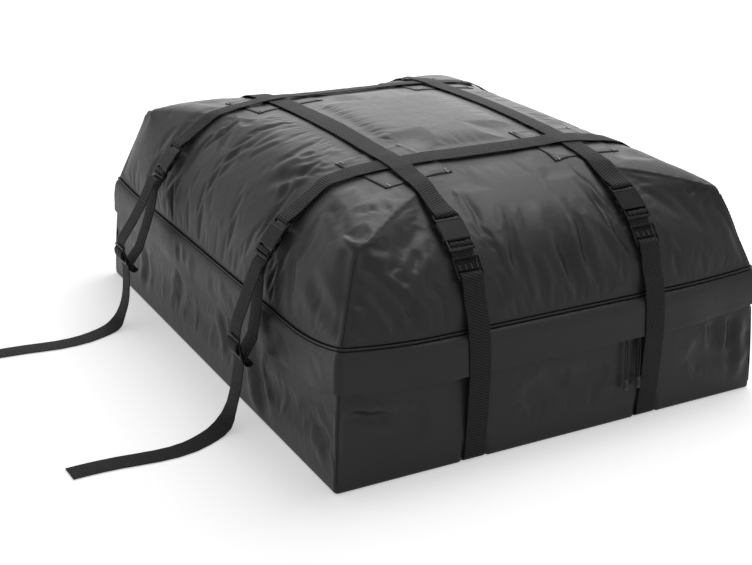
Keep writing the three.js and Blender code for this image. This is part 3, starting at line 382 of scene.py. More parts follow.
def moulded(name, level, roughness):
    """Plastic with an orange-peel texture, and its outer edges painted paler as a painted highlight.
    """
    f = Finish(name)
    _, spot = f.place()
    peel = f.noise(spot, 700.0, 2.0)
    handled = f.noise(spot, 60.0, 3.0)
    body = f.mix(handled.above(0.55, 0.4), grey(level), grey(level * 1.7))
    # The outer edges found by pointiness are painted paler, in patches, as a painted highlight.
    rim = f.amount("ShaderNodeNewGeometry", output="Pointiness").above(0.56, 0.08)
    color = f.mix(rim * (0.4 + handled * 0.6), body, grey(EDGE_HIGHLIGHT_GREY))
    relief = f.bump(peel, 0.1 * MM, 0.5)
    return f.end(color, roughness + handled * 0.15, relief, Specular_IOR_Level=0.08)


def narrow_woven(name, level, pitch):
    """Tape, cord or thread: a small diagonal grain with scattered fibres."""
    f = Finish(name)
    (x, _, z), spot = f.place()
    grain = (z + x * 0.4).wave(pitch) * (x - z * 0.4).wave(pitch)
    scatter = f.noise(spot, 500.0, 2.0)
    lit = (grain * 0.25 + scatter * 0.5 + 0.25).clipped()
    color = f.mix(lit, grey(level * 0.6), grey(level * 1.5))
    relief = f.bump(grain, 0.3 * MM, 0.7)
    return f.end(color, 0.65 + scatter * 0.15, relief, Specular_IOR_Level=0.3)


PLASTIC = moulded("moulded_plastic", 0.006, 0.22)
# The last finish, nearly black, is for the cords at the corner seams, which paint the shadow in the
# sewn grooves.
ZIP_TAPE, PULL_CORD, THREAD, TACK_THREAD, SEAM_SHADOW_FINISH = (
    narrow_woven(name, level, pitch * MM) for name, level, pitch in (
        ("zip_tape", 0.01, 1.2), ("pull_cord", 0.01, 2.4), ("thread", 0.26, 1.0),
        ("tack_thread", 0.5, 1.0), ("seam_shadow_cord", 0.005, 1.5)))
print("finishes:", ", ".join(m.name for m in (FABRIC, PATCH, PIPING, WEBBING, PLASTIC, ZIP_TAPE)))

# %% [markdown]
# ## Webbing follows its solid
#
# The imported model holds each strap as a strip with rings of four corners. Walking from the strip's
# end cap over its edges finds those rings again, and with them the strip's line and its slant. A
# softer strip of the webbing's given width is then drawn along the same line, with rounded edges and
# a UV map in metres, so that the ribs of the weave follow the strap everywhere.


# %% The rings of a strip
MERGE = 1e-6


def strip_rings(node):
    """The corners of a packed strip, ring by ring from one end to the other."""
    bm = bmesh.new()
    bm.from_mesh(frame_object(node).data)
    bmesh.ops.remove_doubles(bm, verts=bm.verts, dist=MERGE)
    bm.verts.ensure_lookup_table()
    rings = [[v.co.copy() for v in level] for level in cap_levels(bm)[1:] if len(level) >= 4]
    bm.free()
    return rings


def cap_levels(bm):
    """Vertices grouped by how many edges they lie from the middle of an end cap."""
    def spread(start):
        seen = {start}
        levels = [[start]]
        while True:
            reached = {e.other_vert(v) for v in levels[-1] for e in v.link_edges} - seen
            if not reached:
                return levels
            seen |= reached
            levels.append(sorted(reached, key=lambda v: v.index))

    for vert in bm.verts:
        around = {e.other_vert(vert) for e in vert.link_edges}
        if len(around) not in (4, 8):
            continue
        closed = all(len({e.other_vert(v) for e in v.link_edges} & around) == 2 for v in around)
        levels = spread(vert) if closed else [[]]
        even = all(len(level) == len(around) for level in levels[1:-1])
        if even and len(levels[-1]) == 1:
            return levels
    raise ValueError("no end cap found")


def strip_line(node):
    """The middles of a strip's rings and the direction across it at each."""
    middles, acrosses = [], []
    for points in strip_rings(node):
        middle = sum(points, Vector()) / len(points)
        far = max(points, key=lambda p: (p - middle).length)
        ends = sorted(points, key=lambda p: (p - middle).dot(far - middle))
        half = len(ends) // 2
        across = sum(ends[half:], Vector()) / half - sum(ends[:half], Vector()) / half
        if acrosses and across.dot(acrosses[-1]) < 0:
            across.negate()
        middles.append(middle)
        acrosses.append(across.normalized())
    return middles, acrosses


# %% A soft strip along a line
UPPER_SECTION = [(-0.5, 0.0), (-0.485, 0.36), (-0.44, 0.5), (0.44, 0.5), (0.485, 0.36)]
STRIP_SECTION = UPPER_SECTION + [(-u, -v) for u, v in UPPER_SECTION]
STRIP_STEP = 4 * MM
LONGEST_GAP = 16 * MM


def soft_strip(name, middles, acrosses, width, thick):
    """A closed strip with eased edges along a line, its UV map in metres across and along."""
    middles, acrosses = resampled(middles, acrosses)
    points, uvs, run = [], [], 0.0
    count = len(STRIP_SECTION)
    for i, middle in enumerate(middles):
        ahead = middles[min(i + 1, len(middles) - 1)] - middles[max(i - 1, 0)]
        ahead.normalize()
        across = (acrosses[i] - ahead * acrosses[i].dot(ahead)).normalized()
        through = across.cross(ahead)
        if i:
            run += (middle - middles[i - 1]).length
        for u, v in STRIP_SECTION:
            points.append(middle + across * (u * width) + through * (v * thick))
            uvs.append((u * width, run))
    rings = len(middles)
    faces = []
    for first in range(0, (rings - 1) * count, count):
        for a, b in zip(range(count), [*range(1, count), 0]):
            faces.append((first + a, first + b, first + b + count, first + a + count))
    faces.append(tuple(range(count - 1, -1, -1)))
    faces.append(tuple(range((rings - 1) * count, rings * count)))
    mesh = mesh_of(name, points, faces, uvs)
    face_outwards(mesh)
    return mesh


def stepped(rows, gaps):
    """The rows with straight steps put in wherever the gap between two is long."""
    runs = [
        np.linspace(a, b, max(int(math.ceil(gap / LONGEST_GAP)), 1), endpoint=False)
        for a, b, gap in zip(rows, rows[1:], gaps)
    ]
    return np.concatenate(runs + [rows[-1:]])


def resampled(points, acrosses):
    """Points and directions on a smooth curve through the given ones, about one step apart."""
    places = np.array([tuple(p) for p in points])
    gaps = np.linalg.norm(np.diff(places, axis=0), axis=1)
    sides = stepped(np.array([tuple(a) for a in acrosses]), gaps)
    places = stepped(places, gaps)
    gaps = np.linalg.norm(np.diff(places, axis=0), axis=1)
    runs = np.concatenate([[0], np.cumsum(gaps)])
    count = max(int(runs[-1] / STRIP_STEP), 4)
    wanted = np.linspace(0, runs[-1], count + 1)
    tangents = np.gradient(places, runs, axis=0)
    i = np.clip(np.searchsorted(runs, wanted, side="right") - 1, 0, len(runs) - 2)
    h = (runs[i + 1] - runs[i])[:, None]
    t = ((wanted - runs[i]) / h[:, 0])[:, None]
    curve = ((2 * t**3 - 3 * t**2 + 1) * places[i] + (t**3 - 2 * t**2 + t) * h * tangents[i]
             + (3 * t**2 - 2 * t**3) * places[i + 1] + (t**3 - t**2) * h * tangents[i + 1])
    side = sides[i] * (1 - t) + sides[i + 1] * t
    return [Vector(p) for p in curve], [Vector(s).normalized() for s in side]


# %% [markdown]
# ## The free strap tails
#
# Two ends of webbing leave the hanging loops on the left, fall to the ground and lie there in a
# loose curve. Each is a flat cord, drawn as a soft strip along the line of its solid, and it is bare
# at its far end.

# %% Routes of the tails, in millimetres
TAIL_LIE = 1.3
FRONT_TAIL = [
    (-434.8, -228, 117.1), (-434, -228, 107), (-435, -228, 97), (-437, -228, 84),
    (-439.5, -228, 69), (-443, -228, 53), (-448, -228.5, 36), (-456, -231, 20),
    (-467, -236, 8.5), (-482, -243, 2.6), (-498, -251, TAIL_LIE), (-516, -260, TAIL_LIE),
    (-536, -267.5, TAIL_LIE), (-562, -272, TAIL_LIE), (-590, -272, TAIL_LIE),
    (-620, -269, TAIL_LIE), (-650, -265.5, TAIL_LIE), (-680, -264, TAIL_LIE),
    (-704, -264, TAIL_LIE), (-726, -265, TAIL_LIE),
]
BACK_TAIL = [
    (-463.7, 232, 121.4), (-462.7, 232, 111), (-462.9, 232, 100), (-463.4, 232, 88),
    (-464.4, 232, 75), (-466, 232, 60), (-469, 232, 46), (-473.5, 232, 33),
    (-480, 231, 20), (-489, 228.5, 9), (-502, 223.5, 2.8), (-518, 216.5, TAIL_LIE),
    (-536, 208.5, TAIL_LIE), (-556, 201.5, TAIL_LIE), (-580, 197.5, TAIL_LIE),
    (-608, 196.5, TAIL_LIE), (-636, 199.5, TAIL_LIE), (-665, 203.5, TAIL_LIE),
    (-690, 205.5, TAIL_LIE), (-714, 207, TAIL_LIE), (-740, 208.5, TAIL_LIE),
    (-760, 209.5, TAIL_LIE),
]
WEB_THICK = 1.8 * MM


# %% Tails as soft strips
def webbing_piece(node, middles, acrosses, material):
    """A soft strip along a line, in the place of a packed strip."""
    name = node + "_webbing"
    strip = show(soft_strip(name, middles, acrosses, STRAP_WIDTH, WEB_THICK), name, material)
    return ride_on(strip, BAG, "webbing", node)


for node, points in (("tail_left_front", FRONT_TAIL), ("tail_left_back", BACK_TAIL)):
    webbing_piece(node, *strip_line(node), WEBBING)

# %% [markdown]
# ## The straps and loops
#
# All other webbing is drawn the same way along its own solid: the straps over the lid, the straps
# that run round under the bag, and the hanging loops at its sides.

# %% Straps and loops
def relaxed(points, acrosses, passes=7, kept=12):
    """The same line with its small kinks drawn straight, except near its ends."""
    line = np.array([tuple(p) for p in points])
    for _ in range(passes):
        eased = (line[:-2] + 2 * line[1:-1] + line[2:]) / 4
        line[kept:-kept] = eased[kept - 1:1 - kept]
    return [Vector(p) for p in line], acrosses


STRAPS = ("long_strap", "cross_strap", "side_loop")
STRAP_NODES = [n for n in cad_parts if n.startswith(STRAPS)]
for node in STRAP_NODES:
    line = strip_line(node)
    if "_top_" in node:
        line = relaxed(*resampled(*line))
    webbing_piece(node, *line, TWILL_WEBBING if "long" in node else WEBBING)
print(len(STRAP_NODES), "straps and loops")

# %% [markdown]
# ## The bag's body as rings
#
# Seen from above, the bag is a rounded rectangle at every height. The tub's rings lean in a little
# towards the seam, and the lid's rings shrink along a full, flat-topped section up to the crown.
# Near its four corners the lid is pinched outwards by sewn ridges. The helpers below repeat the
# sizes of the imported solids, but for as many points as the cloth needs. They work on whole arrays
# of points at once, which is much faster than one point at a time.

# %% Sizes of the body, in millimetres
BAG_HALF_X, BAG_HALF_Y, CROWN = 400.0, 500.0, 410.0
WALL_LEAN = 14.0
SEAM_X, SEAM_Y = BAG_HALF_X - WALL_LEAN, BAG_HALF_Y - WALL_LEAN
SEAM_SIDE = np.array([213.0, 211.0, 207.0, 199.0])
SEAM_CORNER = np.array([225.0, 220.0, 212.0, 206.0])
SEAM_RISE_LENGTH = 170.0
RIDGE_RADIUS = 6.0
PEAK_INSET, PEAK_RISE = 49.0, 140.0
PINCH_REACH, PINCH_END = 150.0, math.radians(78)
PEAK_ANGLE = math.asin(PEAK_RISE / (CROWN - SEAM_SIDE[0]))
LONG_STRAP_X = (-160.0, 172.0)
CROSS_STRAP_Y = (-228.0, 232.0)
END_WALL_Y = 470.0  # beyond this lie the walls at the bag's two ends


# %% Points on a ring
def ring_points(turn, half_x, half_y, radius):
    """Points of a rounded rectangle; turn runs 0 to 4 from the front left corner, anticlockwise."""
    side = np.floor(turn).astype(int) % 4
    lying = side % 2 == 0
    half = np.where(lying, half_x, half_y)
    out = np.where(lying, half_y, half_x)
    radius = np.maximum(np.minimum(radius, np.minimum(half, out)), 1e-6)
    flat = half - radius
    place = (turn - np.floor(turn) - 0.5) * 2 * (flat + radius * math.pi / 4)
    angle = np.maximum(np.abs(place) - flat, 0) / radius
    across = np.sign(place) * (np.minimum(np.abs(place), flat) + radius * np.sin(angle))
    away = out - radius + radius * np.cos(angle)
    x = np.choose(side, [across, away, -across, -away])
    y = np.choose(side, [-away, across, away, -across])
    from_corner = np.maximum(flat - np.abs(place), 0) * half / np.maximum(flat, 1e-6)
    return x, y, from_corner


def seam_height(turn):
    """The seam's height: level along each side, with a climb to each corner."""
    _, _, from_corner = ring_points(turn, SEAM_X, SEAM_Y, RIDGE_RADIUS)
    side = np.floor(turn).astype(int) % 4
    nearest = np.where(turn - np.floor(turn) < 0.5, side, side + 1) % 4
    weight = np.maximum(0, 1 - from_corner / SEAM_RISE_LENGTH) ** 2
    return lerp(SEAM_SIDE[side], SEAM_CORNER[nearest], weight)


def wall_points(turn, height):
    """Points of the tub's wall, and the direction out of it, level."""
    turn = np.broadcast_to(turn, height.shape)
    lean = WALL_LEAN * np.clip(height / seam_height(turn), 0, 1) ** 1.5
    x, y, _ = ring_points(turn, BAG_HALF_X - lean, BAG_HALF_Y - lean, RIDGE_RADIUS)
    farther_x, farther_y, _ = ring_points(
        turn, BAG_HALF_X - lean + 1, BAG_HALF_Y - lean + 1, RIDGE_RADIUS + 1)
    return x, y, np.stack([farther_x - x, farther_y - y, np.zeros_like(x)], axis=-1)


def lid_points(turn, angle):
    """Points of the lid; angle is 0 at the seam and a right angle at the crown."""
    def halves(at):
        level = np.maximum(np.cos(at), 0)
        return SEAM_X * level ** 0.5, SEAM_Y * level ** (2 / 3)

    half_x, half_y = halves(angle)
    rounding = smoothstep(angle, PEAK_ANGLE * 0.9, math.pi / 2)
    smaller = np.minimum(half_x, half_y)
    radius = lerp(np.minimum(RIDGE_RADIUS, smaller), smaller, rounding)
    x, y, from_corner = ring_points(turn, half_x, half_y, radius)
    climb = np.minimum(angle, PEAK_ANGLE)
    share = np.sin(climb) / math.sin(PEAK_ANGLE)
    climb_x, climb_y = halves(climb)
    fade = 1 - smoothstep(angle, PEAK_ANGLE, PINCH_END)
    weight = np.maximum(0, 1 - from_corner / PINCH_REACH) ** 2 * fade
    seam = seam_height(turn)
    return np.stack([
        x + np.sign(x) * weight * (SEAM_X - PEAK_INSET * share - climb_x),
        y + np.sign(y) * weight * (SEAM_Y - PEAK_INSET * share - climb_y),
        seam + (CROWN - seam) * np.sin(angle),
    ], axis=-1)


# %% [markdown]
# ## Cloth that settles
#
# Real coated fabric is never as even as a formula. Blender's cloth simulation takes the even
# surface, gives it a little more fabric than it needs and some pressure from inside, and holds it
# where the seam and the straps hold it. What comes out has the slack, the swells and the puckers
# of a packed bag. How far a point may wander is limited, so that the bag keeps its size.


# %% Cloth simulation on a grid of points
CLOTH = {
    "vertex_group_mass": "held", "quality": 4, "mass": 0.25, "use_pressure": True,
    "tension_stiffness": 12, "compression_stiffness": 12, "shear_stiffness": 6,
    "bending_stiffness": 0.9,
}
SETTLING_FRAMES = 18


def settled(name, points, faces, held, swell, excess, wander):
    """Points in millimetres after a short cloth simulation; held is 1 where the fabric is fixed."""
    cloth = in_scene(name, mesh_of(name, points * MM, faces))
    group = cloth.vertex_groups.new(name="held")
    rounded = np.round(held, 1)
    for level in np.unique(rounded[rounded > 0]):
        group.add([int(i) for i in np.nonzero(rounded == level)[0]], float(level), "REPLACE")
    sim = cloth.modifiers.new("cloth", "CLOTH")
    for setting, value in CLOTH.items():
        setattr(sim.settings, setting, value)
    sim.settings.uniform_pressure_force = swell
    sim.settings.shrink_min = -excess
    sim.settings.effector_weights.gravity = 0
    sim.collision_settings.use_collision = False
    sim.point_cache.frame_end = SETTLING_FRAMES
    for frame_number in range(1, SETTLING_FRAMES + 1):
        bpy.context.scene.frame_set(frame_number)
    shape = cloth.evaluated_get(bpy.context.evaluated_depsgraph_get()).to_mesh()
    moved = np.empty(len(points) * 3)
    shape.vertices.foreach_get("co", moved)
    bpy.data.objects.remove(cloth)
    bpy.context.scene.frame_set(1)
    shift = moved.reshape(-1, 3) / MM - points
    far = np.maximum(np.linalg.norm(shift, axis=1), 1e-9)
    print(f"{name} wandered {far.mean():.1f} mm on average, {far.max():.1f} at most")
    return points + shift * (wander * np.tanh(far / wander) / far * (1 - held))[:, None]


# %% [markdown]
# ## Finer rows and drawn folds
#
# The simulated rows are then doubled, along a smooth curve through each four of them. The folds
# that the picture shows are drawn on the finer surface: each is a line on the fabric, with a width
# and a depth, and its valley has a soft lip on either side, as creased cloth has.


# %% Finer rows
def doubled(rows, closed=False):
    """Twice the rows of an array of points, on a smooth curve through the old ones."""
    before = rows[-1:] if closed else 2 * rows[:1] - rows[1:2]
    after = rows[:2] if closed else 2 * rows[-1:] - rows[-2:-1]
    around = np.concatenate([before, rows, after])
    between = (9 * (around[1:-2] + around[2:-1]) - around[:-3] - around[3:]) / 16
    fine = np.empty((len(rows) + len(between), *rows.shape[1:]))
    fine[0::2] = rows
    fine[1::2] = between
    return fine


def refined(grid, closed=False):
    """A grid of points with its rows and its columns doubled."""
    return doubled(doubled(grid).transpose(1, 0, 2), closed).transpose(1, 0, 2)


def grid_normals(grid, closed=False):
    """The direction out of a grid of points; closed where its second axis runs round the bag."""
    down = np.gradient(grid, axis=0)
    round_about = np.gradient(grid, axis=1)
    if closed:
        round_about = np.roll(grid, -1, 1) - np.roll(grid, 1, 1)
    normal = np.cross(round_about, down)
    return normal / np.maximum(np.linalg.norm(normal, axis=-1, keepdims=True), 1e-9)


# %% Folds along lines
LIP_DEPTH, LIP_PLACE, LIP_SPREAD = 0.38, 1.9, 0.6


def fold_depths(grid, folds):
    """How far each point of a grid moves along its normal, in millimetres, for the folds given."""
    points = grid.reshape(-1, 3)
    total = np.zeros(len(points))
    for line, wide, depth in folds:
        line = np.asarray(line, dtype=float)
        spans = np.linalg.norm(np.diff(line, axis=0), axis=1)
        length = spans.sum()
        nearest = np.full(len(points), 1e9)
        run = np.zeros(len(points))
        before = 0.0
        for a, b, span in zip(line, line[1:], spans):
            share = np.clip((points - a) @ (b - a) / span**2, 0, 1)
            gap = np.linalg.norm(points - (a + share[:, None] * (b - a)), axis=1)
            closer = gap < nearest
            nearest = np.where(closer, gap, nearest)
            run = np.where(closer, before + share * span, run)
            before += span
        along = run / length
        taper = smoothstep(along, -0.05, 0.3) * (1 - smoothstep(along, 0.7, 1.05))
        near = (nearest / wide) ** 2
        lip = np.exp(-((nearest / wide - LIP_PLACE) ** 2) / LIP_SPREAD)
        total += depth * taper * (np.exp(-near) - LIP_DEPTH * lip)
    return total.reshape(grid.shape[:2])


# %% [markdown]
# ## The lid
#
# The lid is one square sheet of points, folded over the rings: its rows meet the corners of the bag
# along the sheet's diagonals, so each sewn ridge lies on a row of edges and stays crisp, and there
# is no pole at the crown. The straps press the sheet down, and it bulges between them.

# %% The lid's sheet
LID_CELLS = 74


def lid_sheet(cells):
    """A square grid of points over the lid, with even steps up its section."""
    fine = np.linspace(0, math.pi / 2, 400)
    mean_out = (SEAM_X * np.cos(fine) ** 0.5 + SEAM_Y * np.cos(fine) ** (2 / 3)) / 2
    mean_path = np.stack([mean_out, (CROWN - SEAM_SIDE[0]) * np.sin(fine)], axis=1)
    runs = np.concatenate([[0], np.cumsum(np.linalg.norm(np.diff(mean_path, axis=0), axis=1))])
    i, j = np.meshgrid(np.arange(-cells, cells + 1), np.arange(-cells, cells + 1), indexing="ij")
    ring = np.maximum(np.maximum(np.abs(i), np.abs(j)), 1e-6)
    share = np.select(
        [j <= -ring, i >= ring, j >= ring],
        [(i + ring) / (2 * ring), 1 + (j + ring) / (2 * ring), 2 + (ring - i) / (2 * ring)],
        3 + (ring - j) / (2 * ring),
    )
    angle = np.interp(runs[-1] * (1 - ring / cells), runs, fine)
    return lid_points(np.minimum(share, 3.999999), angle), ring / cells


def grid_faces(rows, columns, closed=False):
    """The faces between rows of points; closed where each row runs round the bag."""
    steps = columns if closed else columns - 1
    r, c = np.meshgrid(np.arange(rows - 1), np.arange(steps), indexing="ij")
    a = r * columns + c
    b = r * columns + (c + 1) % columns
    return np.stack([a, a + columns, b + columns, b], axis=-1).reshape(-1, 4).tolist()


def grid_rim(rows):
    """The points round the edge of a square grid, in order."""
    last = (rows - 1) * rows
    down = [r * rows for r in range(rows)]
    up = [r * rows + rows - 1 for r in range(rows - 2, -1, -1)]
    return down + [last + c for c in range(1, rows)] + up + list(range(rows - 2, 0, -1))


def strap_press(points, near, free):
    """1 under a strap and 0 away from it."""
    x, y, z = points[..., 0], points[..., 1], points[..., 2]
    long_hold = 1 - smoothstep(to_nearest(x, LONG_STRAP_X), near, free)
    cross_hold = 1 - smoothstep(to_nearest(y, CROSS_STRAP_Y), near, free)
    return np.maximum(
        long_hold * (np.abs(x) < 330), cross_hold * (np.abs(y) < 400) * smoothstep(z, 270, 300))


RIDGE_HOLD, RIDGE_TOP = 0.9, 348
sheet, out_share = lid_sheet(LID_CELLS)
size = sheet.shape[0]
held = np.maximum(strap_press(sheet, 22, 55), smoothstep(out_share, 0.965, 0.995))
from_middle = np.abs(np.arange(size) - LID_CELLS)
off_ridge = np.abs(from_middle[None, :] - from_middle[:, None])
on_ridge = (1 - smoothstep(off_ridge, 0.5, 2)) * (sheet[..., 2] < RIDGE_TOP)
held = np.maximum(held, RIDGE_HOLD * on_ridge)
lid_grid = settled(
    "lid_cloth", sheet.reshape(-1, 3), grid_faces(size, size), held.ravel(),
    swell=3.5, excess=0.010, wander=6.0,
).reshape(size, size, 3)
lid_grid = refined(lid_grid)

# %% Folds of the lid, as points in millimetres, width and depth
LID_FOLDS = [
    ([(-337, 69, 336), (-288, 41, 371), (-222, 47, 395)], 8, -3),
    ([(-306, 20, 360), (-247, -3, 392)], 8, 2.5),
    ([(-266, -100, 384), (-238, -107, 396)], 7, -2.5),
    ([(-304, -84, 365), (-249, -104, 391)], 12, 3),
    ([(-318, -97, 354), (-297, -131, 369), (-269, -162, 386)], 12, -3.5),
    ([(-323, -133, 350), (-285, -166, 376)], 12, 3),
    ([(-319, 102, 354), (-303, 121, 367), (-283, 144, 376)], 8, -2.5),
    ([(-312, 150, 361), (-285, 171, 376)], 8, 2.5),
    ([(-331, -442, 342), (-313, -449, 314), (-298, -460, 292), (-274, -476, 265),
      (-245, -486, 218)], 10, -5),
    ([(-305, -446, 316), (-292, -452, 302), (-280, -461, 288)], 6, 2.5),
    ([(-337, -451, 317), (-314, -465, 283), (-290, -482, 246), (-261, -485, 222)], 10, -4.5),
    ([(-361, -467, 275), (-344, -474, 264)], 8, 4),
    ([(-377, -478, 239), (-354, -485, 228)], 8, 4),
    ([(-371, -352, 281), (-373, -394, 272), (-374, -423, 263), (-377, -463, 252)], 14, -4.5),
    ([(-228, -422, 329), (-238, -436, 317), (-252, -449, 303)], 8, -4.5),
    ([(-207, -441, 313), (-219, -461, 291), (-226, -475, 266)], 12, -3.5),
    ([(-278, -456, 295), (-263, -452, 300)], 8, -3),
    ([(-44, -371, 357), (-61, -418, 327), (-70, -449, 299), (-67, -470, 269)], 9, -6),
    ([(68, -370, 357), (65, -422, 325), (57, -458, 292), (61, -479, 253)], 9, -6),
    ([(114, -330, 376), (116, -386, 351), (129, -417, 331), (154, -441, 312)], 7, -3),
    ([(121, -409, 336), (130, -446, 306), (156, -475, 264)], 8, -3.5),
    ([(21, -426, 328), (16, -455, 298), (26, -476, 266), (32, -487, 229)], 10, -4.5),
    ([(-44, -442, 303), (-38, -469, 266), (-36, -482, 231)], 9, -4.5),
    ([(56, -408, 337), (42, -446, 310), (39, -469, 281)], 9, 3.5),
    ([(-81, -417, 328), (-93, -452, 298), (-96, -472, 268)], 10, 3),
    ([(12, -378, 359), (-8, -427, 325), (-15, -459, 287)], 14, 3),
    ([(296, -408, 364), (292, -423, 353), (294, -428, 340)], 8, -4),
    ([(307, -432, 352), (323, -439, 350)], 8, 3.5),
    ([(303, -435, 334), (313, -444, 323)], 8, -3),
    ([(-293, -356, 375), (-261, -357, 378)], 8, -4),
    ([(-335, -407, 357), (-317, -412, 362), (-292, -405, 367)], 10, -3),
    ([(-255, -370, 376), (-239, -353, 380)], 7, -3.5),
    ([(-297, -382, 371), (-298, -410, 365), (-304, -427, 359)], 10, 2),
    ([(-330, -370, 357), (-336, -404, 355), (-336, -431, 351)], 6, 3.5),
    ([(-328, -439, 348), (-311, -438, 334), (-288, -436, 327), (-263, -430, 327)], 8, 4),
    ([(-250, -394, 363), (-250, -411, 345), (-261, -425, 332)], 12, -2),
    ([(-306, -293, 372), (-314, -330, 368), (-327, -360, 359)], 9, -3.5),
    ([(300, 420, 355), (330, 446, 300), (345, 470, 250)], 12, -4),
    ([(-40, 372, 356), (-56, 420, 326), (-60, 470, 268)], 12, -4),
    ([(60, 380, 352), (72, 430, 318), (80, 474, 262)], 11, -4),
    ([(336, 60, 340), (368, 40, 300), (382, 30, 250)], 14, -4),
    ([(340, -90, 338), (370, -100, 290)], 12, 3.5),
    ([(-300, 410, 360), (-330, 440, 320), (-350, 468, 262)], 12, -4),
    ([(330, -380, 340), (352, -430, 300), (366, -462, 250)], 12, -4),
]


# %% The lid under its straps
def bvh_of(mesh):
    """A search tree over a mesh, to find the nearest point of its surface."""
    corners = [v.co.copy() for v in mesh.vertices]
    return BVHTree.FromPolygons(corners, [tuple(p.vertices) for p in mesh.polygons])


def kept_below(points, tree, allowed):
    """Moves points back where they stand more than allowed, in millimetres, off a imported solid."""
    kept = points.copy()
    for i in np.nonzero(allowed < 9)[0]:
        place, normal, _, _ = tree.find_nearest(Vector(points[i]) * MM)
        over = (Vector(points[i]) - place / MM).dot(normal) - allowed[i]
        if over > 0:
            kept[i] = points[i] - np.array(normal) * over
    return kept


LID_PROUD = 7  # how far the lid may swell off its solid, away from straps and patches
PATCH_REACH = 82
fold_room = 1 - strap_press(lid_grid, 20, 44)
shift = fold_depths(lid_grid, LID_FOLDS) * fold_room
lid_rows = lid_grid.shape[0]
inwards = np.minimum(np.arange(lid_rows), lid_rows - 1 - np.arange(lid_rows))
shift *= smoothstep(np.minimum(inwards[:, None], inwards[None, :]), 0, 5)
lid_grid = lid_grid - grid_normals(lid_grid) * shift[..., None]
lid_cap = 0.3 + LID_PROUD * smoothstep(1 - strap_press(lid_grid, 0, 60), 0.55, 1.0)
off_patch = np.maximum(
    to_nearest(lid_grid[..., 0], LONG_STRAP_X),
    to_nearest(lid_grid[..., 1], CROSS_STRAP_Y)) - PATCH_REACH
lid_cap = np.minimum(lid_cap, 0.25 + LID_PROUD * smoothstep(off_patch, 0, 60))
lid_flat = kept_below(lid_grid.reshape(-1, 3), bvh_of(frame_object("lid").data), lid_cap.ravel())
lid_grid = lid_flat.reshape(lid_rows, lid_rows, 3)

# %% The lid as a closed piece
UNDERSIDE = 205
rim = grid_rim(lid_rows)
lid_faces = [face[::-1] for face in grid_faces(lid_rows, lid_rows)]
lid_faces += [(len(lid_flat), a, b) for a, b in zip(rim, rim[1:] + rim[:1])]
lid_points_closed = np.vstack([lid_flat, [[0, 0, UNDERSIDE]]])
lid = closed_piece("lid_fabric", lid_points_closed, lid_faces, FABRIC, "fabric", "lid")

# %% [markdown]
# ## The tub
#
# The tub's wall is a band of rows that closes on itself round the bag. It stays plain behind the
# rain flap, where the zip is sewn, and has its own slack below. Its underside rolls over a soft
# edge, rests on a rim, and makes room for the two long straps that run right under the bag.

# %% The tub's wall
TUB_COLUMNS = 560
TUB_ROWS = 25
TUB_START = 6.0
FLAP_FOOT = 66.0
turns = np.arange(TUB_COLUMNS) * 4 / TUB_COLUMNS + 2 / TUB_COLUMNS
shares = np.linspace(1, 0, TUB_ROWS)[:, None]
seams = seam_height(turns)[None, :]
heights = TUB_START + shares * (seams - 0.4 - TUB_START)
wall_x, wall_y, _ = wall_points(turns, heights)
wall = np.stack([wall_x, wall_y, heights], axis=-1)
wall_free = 1 - smoothstep(heights, seams - FLAP_FOOT - 50, seams - FLAP_FOOT + 4)
wall_free *= smoothstep(heights, 8, 75)
wall_press = np.where(np.abs(wall_y) > END_WALL_Y, strap_press(wall, 24, 110), 0)
wall_held = 1 - wall_free * (1 - wall_press)
wall = settled(
    "tub_cloth", wall.reshape(-1, 3), [f[::-1] for f in grid_faces(TUB_ROWS, TUB_COLUMNS, True)],
    wall_held.ravel(), swell=2.5, excess=0.006, wander=4.5,
).reshape(TUB_ROWS, TUB_COLUMNS, 3)
wall = refined(wall, closed=True)

# %% Folds of the tub
TUB_FOLDS = [
    ([(-398, 318, 120), (-399, 316, 85), (-399, 315, 30)], 14, -5),
    ([(-399, -208, 140), (-398, -202, 88), (-399, -224, 47), (-399, -262, 12)], 15, -7),
    ([(-386, -493, 143), (-357, -494, 131), (-326, -494, 116)], 9, 6),
    ([(-398, -415, 84), (-398, -447, 70), (-398, -478, 52)], 12, -4),
    ([(-376, -496, 128), (-340, -497, 112), (-300, -496, 98)], 9, -6.5),
    ([(302, -494, 142), (312, -496, 87)], 8, -4.5),
    ([(328, -494, 142), (339, -496, 80)], 8, 4),
    ([(346, -494, 137), (351, -497, 78)], 8, -4.5),
    ([(368, -494, 144), (371, -497, 71), (367, -499, 24)], 10, 4),
    ([(-399, -60, 128), (-399, -72, 96), (-399, -98, 60)], 12, -4.5),
    ([(-399, -110, 132), (-399, -135, 100)], 9, 3.5),
    ([(-399, 120, 120), (-399, 150, 60)], 16, -4),
    ([(-40, -498, 120), (20, -499, 84)], 16, -3),
    ([(399, -140, 125), (399, -100, 70)], 14, -5),
    ([(399, 140, 128), (399, 170, 60)], 14, -5),
    ([(-60, 498, 122), (10, 499, 70)], 14, -5),
]
fine_turns = (np.arange(wall.shape[1]) * 0.5 * 4 / TUB_COLUMNS + 2 / TUB_COLUMNS) % 4
flap_line = seam_height(fine_turns)[None, :] - FLAP_FOOT
below_flap = 1 - smoothstep(wall[..., 2], flap_line - 12, flap_line + 6)
shift = fold_depths(wall, TUB_FOLDS)
ends_press = np.where(np.abs(wall[..., 1]) > END_WALL_Y, strap_press(wall, 22, 48), 0)
shift *= below_flap * (1 - ends_press) * smoothstep(wall[..., 2], 4, 26)
wall = wall - grid_normals(wall, closed=True) * shift[..., None]

